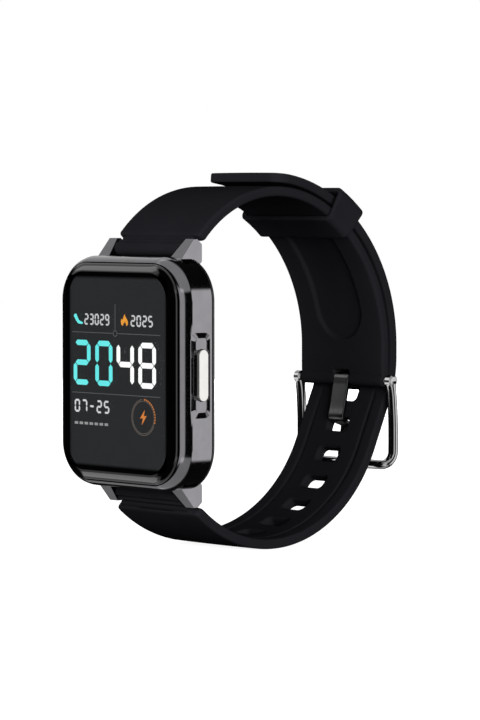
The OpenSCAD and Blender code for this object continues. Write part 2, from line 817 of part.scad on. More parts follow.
case_frame();
cover_glass();
glass_adhesive();
display_panel();
inner_carrier();
main_board();
board_chips();
board_screws();
battery();
motor_can();
motor_weight();
side_button();
button_seal();
button_clip();
switch_plunger();
button_switch();
rear_cover();
rear_gasket();
sensor_window();
sensor_board();
sensor_leds();
charging_contacts();
charging_magnets();
buckle_strap();
upper_bar_tube();
upper_bar_spring();
upper_tip_left();
upper_tip_right();
tail_strap();
lower_bar_tube();
lower_bar_spring();
lower_tip_left();
lower_tip_right();
strap_keeper();
buckle_frame();
buckle_tongue();
buckle_bar_tube();
buckle_bar_spring();
buckle_tip_left();
buckle_tip_right();
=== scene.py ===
"""Looks of the smartwatch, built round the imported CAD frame.

The scene is in metres; the lengths below are millimetres unless a name says otherwise. +X is the
button side, +Y runs from the display to the wrist and +Z is 12 o'clock. A depth is measured from
the front of the glass towards the wrist, and a side-plane point is (y, z).
"""

import math

import bmesh
import bpy
import numpy as np
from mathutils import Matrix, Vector


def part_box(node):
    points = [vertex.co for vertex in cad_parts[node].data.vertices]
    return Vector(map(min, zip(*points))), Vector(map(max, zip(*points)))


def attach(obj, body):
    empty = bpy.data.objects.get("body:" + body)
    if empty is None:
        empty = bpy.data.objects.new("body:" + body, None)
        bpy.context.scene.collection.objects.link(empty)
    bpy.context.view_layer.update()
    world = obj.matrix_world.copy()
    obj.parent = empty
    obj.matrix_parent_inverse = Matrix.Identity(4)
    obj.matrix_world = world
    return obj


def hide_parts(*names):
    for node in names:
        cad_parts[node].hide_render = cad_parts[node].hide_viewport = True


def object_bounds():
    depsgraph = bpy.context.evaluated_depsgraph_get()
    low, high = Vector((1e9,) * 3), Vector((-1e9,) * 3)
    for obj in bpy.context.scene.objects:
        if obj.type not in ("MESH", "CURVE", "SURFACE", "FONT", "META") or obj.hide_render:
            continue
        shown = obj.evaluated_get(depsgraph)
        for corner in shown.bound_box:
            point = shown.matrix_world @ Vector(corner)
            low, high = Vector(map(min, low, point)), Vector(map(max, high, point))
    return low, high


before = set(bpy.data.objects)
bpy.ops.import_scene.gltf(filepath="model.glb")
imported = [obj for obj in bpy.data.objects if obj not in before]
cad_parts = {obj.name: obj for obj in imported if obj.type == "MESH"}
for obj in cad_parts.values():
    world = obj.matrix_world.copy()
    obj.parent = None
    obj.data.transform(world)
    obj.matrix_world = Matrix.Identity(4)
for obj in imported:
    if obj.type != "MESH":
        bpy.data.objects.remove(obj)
cad_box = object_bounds()
MM = 0.001


def node_box(name):
    """Lowest and highest corner of a CAD node, in millimetres."""
    low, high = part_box(name)
    return np.array(low) / MM, np.array(high) / MM


# --- Sizes that several pieces share --------------------------------------------------

glass_lo, glass_hi = node_box("cover_glass")
cover_lo, cover_hi = node_box("rear_cover")
FACE_Y = glass_lo[1]
GLASS_W, GLASS_H = glass_hi[0] - glass_lo[0], glass_hi[2] - glass_lo[2]
COVER_IN = 0.1
CASE_W = cover_hi[0] - cover_lo[0] + 2 * COVER_IN
CASE_H = cover_hi[2] - cover_lo[2] + 2 * COVER_IN
LUG_TOP = node_box("case_frame")[1][2]
STRAP_HALF = node_box("buckle_strap")[1][0]
BUTTON_TOP = node_box("side_button")[1][0]
CORNER_R = 8.5
GLASS_R = CORNER_R - (CASE_W - GLASS_W) / 2
WALL_D = 8.5
LUG_GAP, LUG_T = 20.2, 2.3
BAR = (-20.9, 24.0)
PIN_HOLE_R = 0.44
BUTTON_D = 6.2
WINDOW_W, WINDOW_H, WINDOW_Z, WINDOW_R, WINDOW_FADE = 29.7, 36.9, 0.1, 1.5, 0.8

# --- Mesh code ------------------------------------------------------------------------


def smoothstep(a, b, x):
    t = np.clip((x - a) / (b - a), 0.0, 1.0)
    return t * t * (3 - 2 * t)


def rounded_rect(w, h, r, arc=14, side=6):
    """Counter-clockwise outline in a plane, with the same number of points for any size."""
    corners = [(sx * (w / 2 - r), sy * (h / 2 - r))
               for sx, sy in ((1, 1), (-1, 1), (-1, -1), (1, -1))]
    pts = []
    for k, (cx, cy) in enumerate(corners):
        for i in range(arc + 1):
            a = math.radians(90 * k + 90 * i / arc)
            pts.append((cx + r * math.cos(a), cy + r * math.sin(a)))
        nx, ny = corners[(k + 1) % 4]
        start, end = pts[-1], (nx + r * math.cos(a), ny + r * math.sin(a))
        for i in range(1, side):
            t = i / side
            pts.append((start[0] * (1 - t) + end[0] * t, start[1] * (1 - t) + end[1] * t))
    return np.array(pts)


def outlines(w, h, r):
    """Function for a case-like outline of these sizes, drawn in by an amount."""
    return lambda amount: rounded_rect(w - 2 * amount, h - 2 * amount, r - amount, arc=20, side=8)


case_outline = outlines(CASE_W, CASE_H, CORNER_R)
glass_outline = outlines(GLASS_W, GLASS_H, GLASS_R)
cover_outline = outlines(CASE_W - 2 * COVER_IN, CASE_H - 2 * COVER_IN, CORNER_R - COVER_IN)


def circle_like(outline, r):
    """A circle with one point at the polar angle of each point of the outline."""
    a = np.arctan2(outline[:, 1], outline[:, 0])
    return np.column_stack([r * np.cos(a), r * np.sin(a)])


def from_front(outline, d, at=(0.0, 0.0)):
    """Front-view outline at a depth behind the glass front, as 3-D points."""
    out = np.zeros((len(outline), 3))
    out[:, 0] = outline[:, 0] + at[0]
    out[:, 1] = FACE_Y + d
    out[:, 2] = outline[:, 1] + at[1]
    return out


def across(outline, p, up):
    """Outline of (x, height) points, its height along a side-plane direction from a point."""
    ring = np.zeros((len(outline), 3))
    ring[:, 0] = outline[:, 0]
    ring[:, 1:] = p + np.outer(outline[:, 1], up)
    return ring


def unit_tangents(points):
    tangents = np.gradient(points, axis=0)
    return tangents / np.linalg.norm(tangents, axis=1)[:, None]


def loft(rings, ring_closed=False):
    """Vertices and faces of quads between rings of equal length, with caps on an open end."""
    n = len(rings[0])
    count = len(rings)
    faces = []
    for i in range(count if ring_closed else count - 1):
        a, b = i * n, ((i + 1) % count) * n
        for j in range(n):
            k = (j + 1) % n
            faces.append((a + j, a + k, b + k, b + j))
    if not ring_closed:
        faces.append(tuple(range(n - 1, -1, -1)))
        faces.append(tuple(range((count - 1) * n, count * n)))
    return np.vstack(rings), faces


def make(name, geometry, material, body, replaces=(), sharp=40):
    """One piece from vertices in millimetres and faces, with outward normals."""
    verts, faces = geometry
    mesh = bpy.data.meshes.new(name)
    mesh.from_pydata((np.asarray(verts) * MM).tolist(), [], faces)
    piece = bpy.data.objects.new(name, mesh)
    bpy.context.scene.collection.objects.link(piece)
    for m in material if isinstance(material, (list, tuple)) else [material]:
        mesh.materials.append(m)
    clean(mesh)
    if body:
        shade(piece, sharp)
        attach(piece, body)
    if replaces:
        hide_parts(*replaces)
    return piece


def clean(mesh):
    """Doubled points and empty faces removed, and normals turned outwards."""
    bm = bmesh.new()
    bm.from_mesh(mesh)
    bmesh.ops.remove_doubles(bm, verts=bm.verts, dist=1e-7)
    bmesh.ops.dissolve_degenerate(bm, edges=bm.edges, dist=1e-8)
    bmesh.ops.recalc_face_normals(bm, faces=bm.faces)
    bm.to_mesh(mesh)
    bm.free()


def shade(piece, sharp):
    """Smooth shading up to an angle, with normals that keep large flat faces flat."""
    mesh = piece.data
    mesh.polygons.foreach_set("use_smooth", [True] * len(mesh.polygons))
    mesh.set_sharp_from_angle(angle=math.radians(sharp))
    modifier = piece.modifiers.new("normals", "WEIGHTED_NORMAL")
    modifier.keep_sharp = True
    modifier.weight = 80
    applied(piece)


def applied(piece):
    """Makes a piece's modifiers part of its mesh."""
    graph = bpy.context.evaluated_depsgraph_get()
    mesh = bpy.data.meshes.new_from_object(piece.evaluated_get(graph))
    piece.modifiers.clear()
    piece.data = mesh


def combine(parts):
    """Several (vertices, faces) as one."""
    verts, faces, base = [], [], 0
    for v, f in parts:
        verts.append(np.asarray(v, float))
        faces += [tuple(i + base for i in face) for face in f]
        base += len(v)
    return np.vstack(verts), faces


def boolean(piece, tools, operation="DIFFERENCE", sharp=40):
    """Cuts or joins closed shapes, given as (vertices, faces), and applies the result."""
    for geometry in tools:
        tool = make("tool", geometry, [], None)
        modifier = piece.modifiers.new("tool", "BOOLEAN")
        modifier.operation = operation
        modifier.solver = "MANIFOLD"
        modifier.object = tool
        applied(piece)
        bpy.data.objects.remove(tool)
    clean(piece.data)
    shade(piece, sharp)


def bevelled(geometry, width):
    """A closed shape with its sharp edges rounded off."""
    piece = make("tool", geometry, [], None)
    modifier = piece.modifiers.new("bevel", "BEVEL")
    modifier.width = width * MM
    modifier.segments = 3
    modifier.limit_method = "ANGLE"
    modifier.angle_limit = math.radians(30)
    applied(piece)
    verts = np.array([v.co for v in piece.data.vertices]) / MM
    faces = [tuple(p.vertices) for p in piece.data.polygons]
    bpy.data.objects.remove(piece)
    return verts, faces


def side_prism(outline, x0, x1):
    """A side-plane outline extruded along X."""
    outline = np.asarray(outline, float)
    return loft([np.column_stack([np.full(len(outline), x), outline]) for x in (x0, x1)])


def lathe_x(stations, centre, sides=32):
    """Turned piece along X: (x, radius) stations about a side-plane centre."""
    a = np.linspace(0, 2 * math.pi, sides, endpoint=False)
    return loft([np.column_stack([np.full(sides, x), centre[0] + r * np.cos(a),
                                  centre[1] + r * np.sin(a)]) for x, r in stations])


def rod(centre, r, x0, x1, sides, edge=0.0):
    """Round bar along X at a side-plane point, its ends chamfered by edge."""
    stations = [(x0, r), (x1, r)]
    if edge:
        stations = [(x0, r - edge), (x0 + edge, r), (x1 - edge, r), (x1, r - edge)]
    return lathe_x(stations, centre, sides)


def turned(stations, at=(0.0, 0.0), sides=48):
    """Turned piece along the depth: (radius, depth) stations about a front-view point."""
    a = np.linspace(0, 2 * math.pi, sides, endpoint=False)
    circle = np.column_stack([np.cos(a), np.sin(a)])
    return loft([from_front(r * circle, d, at) for r, d in stations])


# --- Materials ------------------------------------------------------------------------


class Tree:
    """A node tree with its helpers; in keywords, _ stands for a space in a socket's name."""

    def __init__(self, tree):
        self.tree = tree

    def node(self, kind, **inputs):
        made = self.tree.nodes.new(kind)
        for key, value in inputs.items():
            self.feed(made.inputs[key.replace("_", " ")], value)
        return made

    def feed(self, socket, value):
        if isinstance(value, bpy.types.NodeSocket):
            self.tree.links.new(value, socket)
        else:
            socket.default_value = value

    def maths(self, operation, *inputs):
        made = self.tree.nodes.new("ShaderNodeMath")
        made.operation = operation
        for socket, value in zip(made.inputs, inputs):
            self.feed(socket, value)
        return made.outputs[0]

    def map_range(self, value, from_low, from_high, low, high, kind="LINEAR"):
        made = self.node("ShaderNodeMapRange", Value=value, From_Min=from_low,
                         From_Max=from_high, To_Min=low, To_Max=high)
        made.interpolation_type = kind
        return made.outputs["Result"]


class Nodes(Tree):
    """A Principled material, patterned in the piece's own coordinates."""

    def __init__(self, name):
        self.material = bpy.data.materials.new(name)
        self.material.use_nodes = True
        super().__init__(self.material.node_tree)
        self.shader = self.tree.nodes["Principled BSDF"]
        self.place = self.tree.nodes.new("ShaderNodeTexCoord").outputs["Object"]

    def noise(self, per_mm, detail=3.0, stretch=None):
        place = self.place
        if stretch:
            place = self.node("ShaderNodeMapping", Vector=place, Scale=stretch).outputs["Vector"]
        return self.node("ShaderNodeTexNoise", Vector=place, Scale=per_mm / MM,
                         Detail=detail).outputs["Fac"]

    def ramp(self, factor, *stops):
        made = self.node("ShaderNodeValToRGB", Fac=factor)
        for element, (at, colour) in zip(made.color_ramp.elements, stops):
            element.position = at
            element.color = (*colour, 1)
        return made.outputs["Color"]

    def mottle(self, per_mm, detail, colour, spread):
        """A colour that drifts between a darker and a lighter shade of itself."""
        low, high = [tuple(min(1.0, c * k) for c in colour) for k in (1 - spread, 1 + spread)]
        return self.ramp(self.noise(per_mm, detail), (0.3, low), (0.7, high))

    def span(self, factor, low, high):
        """A noise turned into a value between two others."""
        return self.map_range(factor, 0.3, 0.7, low, high)

    def bump(self, height, depth_mm, strength=1.0, after=None):
        made = self.node("ShaderNodeBump", Height=height, Strength=strength,
                         Distance=depth_mm * MM)
        if after is not None:
            self.feed(made.inputs["Normal"], after)
        return made.outputs["Normal"]

    def inside_box(self, centre, half, radius, soft):
        """1 inside a round-cornered box in the X-Z plane, 0 outside, its edge soft (metres)."""
        split = self.node("ShaderNodeSeparateXYZ", Vector=self.place)
        out = []
        for axis, middle, size in zip("XZ", centre, half):
            away = self.maths("ABSOLUTE", self.maths("SUBTRACT", split.outputs[axis], middle))
            past = self.maths("MAXIMUM", self.maths("SUBTRACT", away, size - radius), 0.0)
            out.append(self.maths("MULTIPLY", past, past))
        distance = self.maths("SQRT", self.maths("ADD", *out))
        return self.map_range(distance, radius - soft, radius, 1.0, 0.0, "SMOOTHSTEP")

    def set(self, **inputs):
        for key, value in inputs.items():
            self.feed(self.shader.inputs[key.replace("_", " ")], value)
        return self.material


def metal(name, colour, rough, stretch=None, grain=0.0006):
    """Polished or brushed metal with faint wear; stretch draws its grain out into lines."""
    m = Nodes(name)
    return m.set(Base_Color=m.mottle(0.35, 3, colour, 0.06), Metallic=1.0,
                 Roughness=m.span(m.noise(1.2, 5), *rough),
                 Normal=m.bump(m.noise(6, 4, stretch), grain))


def moulded(name, colour, rough, grain=0.004, per_mm=9):
    """Moulded plastic or rubber: fine grain, slight mottling, uneven sheen."""
    m = Nodes(name)
    return m.set(Base_Color=m.mottle(0.25, 4, colour, 0.15),
                 Roughness=m.span(m.noise(0.8, 4), *rough),
                 Normal=m.bump(m.noise(per_mm, 3), grain))


def silicone_material():
    """Matt black silicone: soft-touch grain with a faint bloom."""
    m = Nodes("silicone_black")
    grain = m.bump(m.noise(14, 2), 0.003)
    return m.set(Base_Color=m.mottle(0.12, 5, (0.0195, 0.0188, 0.0225), 0.06),
                 Roughness=m.span(m.noise(0.5, 5), 0.32, 0.42),
                 Normal=m.bump(m.noise(0.9, 4), 0.01, 0.6, grain), Specular_IOR_Level=0.0)


def border_material():
    """Black print behind the glass, under a polished surface."""
    m = Nodes("glass_border")
    return m.set(Base_Color=m.ramp(m.noise(0.4, 3), (0.3, (0.0003, 0.0003, 0.0004)),
                                   (0.7, (0.0006, 0.0006, 0.0007))),
                 Roughness=m.span(m.noise(2, 4), 0.04, 0.07),
                 Normal=m.bump(m.noise(0.15, 2), 0.0008), IOR=1.52)


def clear_material():
    """Clear glass over the lit area, with a trace of fingerprint, black towards its edge."""
    m = Nodes("glass_clear")
    fade = m.inside_box((0, WINDOW_Z * MM), (WINDOW_W / 2 * MM, WINDOW_H / 2 * MM),
                        WINDOW_R * MM, WINDOW_FADE * MM)
    tint = m.node("ShaderNodeMix", Factor=fade)
    tint.data_type = "RGBA"
    m.feed(tint.inputs[6], (0, 0, 0, 1))
    m.feed(tint.inputs[7], m.ramp(m.noise(0.4, 3), (0.3, (0.97, 0.98, 0.98)), (0.7, (1, 1, 1))))
    return m.set(Base_Color=tint.outputs[2], Roughness=m.span(m.noise(2, 4), 0.0, 0.015),
                 IOR=1.52, Transmission_Weight=1.0)


def window_material():
    """Dark tinted optical window."""
    m = Nodes("window_tinted")
    return m.set(Base_Color=m.ramp(m.noise(0.5, 3), (0.3, (0.2, 0.2, 0.22)),
                                   (0.7, (0.25, 0.25, 0.27))),
                 Roughness=m.span(m.noise(3, 3), 0.0, 0.03), IOR=1.49, Transmission_Weight=1.0)


def lit_material(name, low, high, strength, pixel=0.0):
    """Self-lit display surface, with its pixel grid or a slight unevenness."""
    m = Nodes(name)
    if pixel:
        waves = []
        for axis in "XZ":
            wave = m.node("ShaderNodeTexWave", Vector=m.place,
                          Scale=1 / (2 * math.pi) / (pixel * MM))
            wave.bands_direction = axis
            waves.append(wave.outputs["Fac"])
        factor = m.maths("MULTIPLY", *waves)
    else:
        factor = m.noise(0.08, 2)
    return m.set(Base_Color=(0.002, 0.002, 0.002, 1), Roughness=0.5, Emission_Strength=strength,
                 Emission_Color=m.ramp(factor, (0.1, low), (0.9, high)), Specular_IOR_Level=0.0)


def board_material():
    """Green solder mask over traces."""
    m = Nodes("board_green")
    cells = m.node("ShaderNodeTexVoronoi", Vector=m.place, Scale=0.9 / MM)
    cells.feature = "DISTANCE_TO_EDGE"
    return m.set(Base_Color=m.ramp(cells.outputs["Distance"], (0.03, (0.02, 0.11, 0.05)),
                                   (0.08, (0.01, 0.05, 0.025))),
                 Roughness=m.span(m.noise(3, 3), 0.3, 0.45),
                 Normal=m.bump(cells.outputs["Distance"], 0.03, 0.5))


SILICONE = silicone_material()
CASE_METAL = metal("case_gunmetal", (0.165, 0.16, 0.17), (0.07, 0.13))
BUTTON_METAL = metal("button_polished", (0.48, 0.475, 0.46), (0.1, 0.16))
BUCKLE_METAL = metal("buckle_polished", (0.28, 0.275, 0.28), (0.06, 0.12))
TONGUE_METAL = metal("tongue_satin", (0.07, 0.07, 0.073), (0.28, 0.38))
STEEL = metal("bar_steel", (0.55, 0.55, 0.56), (0.15, 0.25), stretch=(0.1, 1, 1), grain=0.001)
GLASS_BORDER = border_material()
GLASS_CLEAR = clear_material()
COVER_PLASTIC = moulded("cover_satin", (0.012, 0.012, 0.014), (0.28, 0.38), grain=0.002, per_mm=12)
SEAL_RUBBER = moulded("seal_rubber", (0.01, 0.01, 0.011), (0.5, 0.65))
INNER_PLASTIC = moulded("inner_plastic", (0.03, 0.03, 0.032), (0.45, 0.6))
GOLD = metal("contact_gold", (0.83, 0.6, 0.25), (0.18, 0.28), grain=0.001)

# --- Case -----------------------------------------------------------------------------

# Inset of the rim at the glass, depth of its seam there and of the crease behind it
RIM_IN, SEAM, RIM_BACK = 1.12, 1.1, 3.5


def rim_curve(steps=18):
    """The rim between the glass and the side wall as (inset, depth): it turns fast, then slowly."""
    turn = np.radians(24 + 56 * np.linspace(0, 1, 200) ** 0.42)
    x, d = np.cumsum(np.cos(turn)), np.cumsum(np.sin(turn))
    x, d = (x - x[0]) / (x[-1] - x[0]), (d - d[0]) / (d[-1] - d[0])
    at = np.linspace(0, 1, steps) ** 1.6 * (len(turn) - 1)
    index = np.unique(np.round(at).astype(int))
    return [(RIM_IN * (1 - x[k]), SEAM + (RIM_BACK - SEAM) * d[k]) for k in index]


def case_geometry():
    """Section of the case as (inset, depth), run round it: seat, rim, wall, back, ledge."""
    section = [(1.2, 1.9), (1.2, 1.25), (1.19, 1.16), (1.16, 1.11), (1.14, 1.1)]
    section += rim_curve()
    section += [(0, RIM_BACK + 0.02), (0, 5.0), (0, WALL_D - 0.3), (0, WALL_D - 0.15),
                (0.03, WALL_D - 0.06), (0.12, WALL_D), (1.4, WALL_D), (1.5, WALL_D - 0.1),
                (1.5, 3.2), (2.8, 3.2), (2.8, 1.9)]
    return loft([from_front(case_outline(o), d) for o, d in section], ring_closed=True)


def lug_geometry(m, s):
    """One lug: m is +1 for the upper pair, s is +1 for the button side."""
    foot_depth, flare, edge = 6.5, 1.0, 0.07
    outline = [(5.3, CASE_H / 2 - 1.0), (6.05, CASE_H / 2 - 0.1), (8.95, LUG_TOP), (9.95, LUG_TOP),
               (11.1, LUG_TOP - 1.0), (11.1, 21.3), (10.5, 20.75), (10.0, 20.75), (WALL_D, 20.9)]
    verts, faces = side_prism([(FACE_Y + d, m * z) for d, z in outline],
                              s * LUG_GAP / 2, s * (LUG_GAP / 2 + LUG_T))
    foot = [i for i, (d, z) in enumerate(outline) if d < foot_depth]
    verts[foot, 0] -= s * flare
    return bevelled((verts, faces), edge)


def pill_rings(sections, sides=14):
    """Rings of a pill about the button's axis: (x, length, width) each."""
    rings = []
    for x, length, width in sections:
        pts = []
        for k in range(2):
            for i in range(sides + 1):
                a = math.radians(180 * k + 180 * i / sides)
                pts.append((x, width / 2 * math.cos(a) + FACE_Y + BUTTON_D,
                            (1 - 2 * k) * (length - width) / 2 + width / 2 * math.sin(a)))
        rings.append(np.array(pts))
    return rings


# Scoop round the button, from outside inwards: height over the wall, first and last depth,
# length and corner radius
SCOOP = [(0.4, 2.4, 7.95, 16.7, 1.5), (0.0, 2.85, 7.9, 16.3, 1.4), (-0.03, 3.0, 7.87, 16.1, 1.35),
         (-0.52, 4.8, 7.55, 14.1, 0.7), (-0.55, 5.0, 7.45, 13.9, 0.6)]


def scoop_cutter():
    """It slopes in from the rim and runs level under the button."""
    rings = []
    for x, d0, d1, length, r in SCOOP:
        outline = rounded_rect(d1 - d0, length, r, arc=8, side=4)
        rings.append(np.column_stack([np.full(len(outline), CASE_W / 2 + x),
                                      outline[:, 0] + FACE_Y + (d0 + d1) / 2, outline[:, 1]]))
    return loft(rings)


def make_case():
    pocket_l, pocket_w, pin_depth, sharp = 10.0, 2.6, 1.2, 12
    reach = LUG_GAP / 2 + pin_depth
    case = make("case_shell", case_geometry(), CASE_METAL, "case", ["case_frame"],
                sharp=sharp)
    boolean(case, [lug_geometry(m, s) for m in (1, -1) for s in (1, -1)], "UNION", sharp=sharp)
    pocket = loft(pill_rings([(16.2, pocket_l, pocket_w), (18.4, pocket_l, pocket_w)]))
    holes = [rod((BAR[0], m * BAR[1]), PIN_HOLE_R, -reach, reach, 24) for m in (1, -1)]
    boolean(case, [scoop_cutter(), pocket] + holes, sharp=sharp)


make_case()


def window_outline():
    """Edge of the clear area in the middle of the glass."""
    ring = rounded_rect(WINDOW_W, WINDOW_H, WINDOW_R, arc=20, side=8)
    ring[:, 1] += WINDOW_Z
    return ring


def glass_curve(width, drop, steps=20):
    """Edge of the glass from the seam inwards as (inset, depth): a round, then a gentle slope."""
    slope = np.radians(np.concatenate([np.linspace(78, 36, 60), np.linspace(32, 0, 260)]))
    x, d = np.cumsum(np.cos(slope)), np.cumsum(np.sin(slope))
    x, d = x / x[-1], 1 - d / d[-1]
    index = np.unique(np.round(np.linspace(0, 1, steps) ** 1.3 * (len(slope) - 1)).astype(int))
    return [(width * x[k], drop * d[k]) for k in index]


def make_glass():
    """Cover glass, its border printed black; the caps of the loft are its clear window."""
    curve, back = 2.1, 1.7
    edge = [(0.15, back), (0.0, back - 0.12), (0.0, SEAM + 0.05)] + glass_curve(curve, SEAM)
    rings = [from_front(glass_outline(o), d) for o, d in edge + [(curve + 0.1, 0)]]
    rings = [from_front(window_outline(), back)] + rings + [from_front(window_outline(), 0)]
    piece = make("cover_glass_curved", loft(rings), [GLASS_BORDER, GLASS_CLEAR], "case",
                 ["cover_glass"], sharp=30)
    for p in piece.data.polygons:
        if len(p.vertices) > 4:
            p.material_index = 1


make_glass()

# --- Display --------------------------------------------------------------------------

SCREEN_W, SCREEN_H, SCREEN_R, SCREEN_D, SLAB_T = 30.6, 38.5, 5.7, 1.74, 0.06
SCREEN = lit_material("screen_grey", (0.0235, 0.0245, 0.026), (0.029, 0.0305, 0.0325), 1.0,
                      pixel=0.08)
make("display_screen",
     loft([from_front(rounded_rect(SCREEN_W - 2 * o, SCREEN_H - 2 * o, SCREEN_R - o), d)
           for o, d in [(0, 3.3), (0, 1.8), (0.05, SCREEN_D)]]),
     SCREEN, "case", ["display_panel"])

SEGMENTS = {"0": "abcdef", "2": "abged", "3": "abgcd", "4": "fgbc", "5": "afgcd", "7": "abc",
            "8": "abcdefg", "9": "abcdfg", "-": "g"}


def slab(outline):
    """A thin display element from an (x, z) outline, half sunk in the screen."""
    outline = np.asarray(outline, float)
    area = sum(a[0] * b[1] - b[0] * a[1] for a, b in zip(outline, np.roll(outline, -1, 0)))
    if area < 0:
        outline = outline[::-1]
    back = SCREEN_D + SLAB_T / 2
    return loft([from_front(outline, back), from_front(outline, back - SLAB_T)])


def segment(p, q, t, gap):
    """One bar of a seven-segment digit, pointed at both ends."""
    p, q = np.array(p, float), np.array(q, float)
    u = (q - p) / np.linalg.norm(q - p)
    n = np.array([-u[1], u[0]]) * t / 2
    a, b = p + u * gap, q - u * gap
    return slab([a, a + u * t / 2 + n, b - u * t / 2 + n, b, b - u * t / 2 - n, a + u * t / 2 - n])


def digit(symbol, x, z, w, h, t, gap):
    """Seven-segment digit; x and z are its lower left corner."""
    x0, x1, z0, z1 = x + t / 2, x + w - t / 2, z + t / 2, z + h - t / 2
    zm = (z0 + z1) / 2
    ends = {"a": ((x0, z1), (x1, z1)), "b": ((x1, zm), (x1, z1)), "c": ((x1, z0), (x1, zm)),
            "d": ((x0, z0), (x1, z0)), "e": ((x0, z0), (x0, zm)), "f": ((x0, zm), (x0, z1)),
            "g": ((x0, zm), (x1, zm))}
    return [segment(*ends[s], t, gap) for s in SEGMENTS[symbol]]


def number(symbols, x, z, pitch, **size):
    return [part for i, s in enumerate(symbols) for part in digit(s, x + i * pitch, z, **size)]


def ring_arc(x, z, r, t, a0, a1, step=4):
    """Thin arc of a gauge, angles in degrees from 3 o'clock."""
    angles = np.radians(np.arange(a0, a1 + 0.01, step))
    outer = [(x + (r + t / 2) * math.cos(a), z + (r + t / 2) * math.sin(a)) for a in angles]
    inner = [(x + (r - t / 2) * math.cos(a), z + (r - t / 2) * math.sin(a)) for a in angles[::-1]]
    return slab(outer + inner)


def strip(x0, z0, x1, z1, t):
    """Thin straight line, level or upright."""
    if abs(x1 - x0) > abs(z1 - z0):
        return slab([(x0, z0 - t / 2), (x1, z1 - t / 2), (x1, z1 + t / 2), (x0, z0 + t / 2)])
    return slab([(x0 - t / 2, z0), (x0 + t / 2, z0), (x1 + t / 2, z1), (x1 - t / 2, z1)])


def symbol_at(points, x, z, scale):
    return slab([(x + scale * a, z + scale * b) for a, b in points])


SHOE = [(-1.6, 1.2), (-0.9, 1.3), (-0.4, 0.5), (-0.2, 0.2), (0.2, -0.3), (0.9, -0.55),
        (1.6, -0.75), (1.65, -1.15), (0.5, -1.2), (-0.3, -1.0), (-0.9, -0.4), (-1.4, 0.2),
        (-1.8, 0.7)]
FLAME = [(0.0, 1.35), (0.35, 0.7), (0.75, 0.3), (1.1, -0.25), (1.05, -0.8), (0.65, -1.15),
         (0.45, -0.6), (0.1, -0.2), (-0.15, -0.55), (-0.45, -0.75), (-0.5, -1.15), (-1.0, -0.85),
         (-1.2, -0.2), (-0.95, 0.35), (-0.6, 0.1), (-0.35, 0.65)]
BOLT = [(0.35, 1.25), (-0.85, -0.2), (-0.1, -0.12), (-0.4, -1.3), (0.85, 0.3), (0.1, 0.2)]
BIG = {"w": 5.1, "h": 8.7, "t": 1.05, "gap": 0.12}
SMALL = {"h": 2.2, "t": 0.34, "gap": 0.03}
DATE = {"w": 1.6, "h": 2.5, "t": 0.38, "gap": 0.03}
TIME_Z, COUNT_Z, DATE_Z, WEEK_Z = -2.7, 8.95, -8.0, -10.1
RULE_T, RULE_L, RULE_R, HIGH_RULE_Z, LOW_RULE_Z = 0.13, -14.0, 12.0, 7.5, -4.2
SPLIT_X, SPLIT_R = -1.15, 0.55
DIAL = (7.13, -8.2)


def screen_pieces():
    """Everything shown on the display, as piece name: (colour pair, strength, parts)."""
    hours = number("20", -13.6, TIME_Z, 6.55, **BIG)
    minutes = digit("4", -0.7, TIME_Z, **BIG) + digit("8", 5.7, TIME_Z, **BIG)
    counts = number("23029", -10.35, COUNT_Z, 1.56, w=1.25, **SMALL)
    counts += number("2025", 3.45, COUNT_Z, 1.7, w=1.35, **SMALL)
    day = number("07-25", -13.3, DATE_Z, 2.2, **DATE)
    week = [strip(-13.3 + 1.5 * i, WEEK_Z, -12.3 + 1.5 * i, WEEK_Z, 0.5) for i in range(7)]
    lines = [strip(RULE_L, HIGH_RULE_Z, -1.9, HIGH_RULE_Z, RULE_T),
             strip(-0.4, HIGH_RULE_Z, RULE_R, HIGH_RULE_Z, RULE_T),
             strip(RULE_L, LOW_RULE_Z, RULE_R, LOW_RULE_Z, RULE_T),
             strip(SPLIT_X, 8.2, SPLIT_X, 13.1, RULE_T),
             ring_arc(SPLIT_X, HIGH_RULE_Z, SPLIT_R, RULE_T, 0, 356)]
    gauge = [ring_arc(*DIAL, 3.1, 0.1, 0, 356), ring_arc(*DIAL, 3.4, 0.13, 96, 338)]
    charge = [ring_arc(*DIAL, 3.4, 0.24, a, a + 5, 2.5) for a in range(-18, 90, 9)]
    flame = [symbol_at(FLAME, 1.65, 10.05, 0.92)]
    bolt = [symbol_at(BOLT, *DIAL, 1.12)]
    shoe = [symbol_at(SHOE, -12.1, 10.0, 0.78)]
    return {
        "screen_hours": ((0.12, 0.83, 0.82), (0.2, 0.92, 0.9), 1.1, hours + shoe),
        "screen_minutes": ((0.93, 0.95, 0.95), (1, 1, 1), 1.25, minutes),
        "screen_counts": ((0.62, 0.63, 0.64), (0.75, 0.76, 0.77), 0.95, counts),
        "screen_date": ((0.68, 0.69, 0.7), (0.8, 0.81, 0.82), 1.0, day),
        "screen_week": ((0.28, 0.285, 0.29), (0.38, 0.385, 0.39), 1.0, week),
        "screen_lines": ((0.1, 0.103, 0.108), (0.13, 0.133, 0.138), 1.0, lines),
        "screen_gauge": ((0.13, 0.11, 0.095), (0.17, 0.145, 0.125), 1.0, gauge),
        "screen_charge": ((0.8, 0.25, 0.05), (0.9, 0.32, 0.08), 0.9, charge + bolt),
        "screen_flame": ((0.85, 0.3, 0.03), (0.95, 0.42, 0.06), 1.0, flame),
    }


for name, (low, high, strength, parts) in screen_pieces().items():
    make(name, combine(parts), lit_material(name + "_light", low, high, strength), "case")

# --- Side button ----------------------------------------------------------------------

BUTTON_BASE, STEM_R = 16.9, 0.8


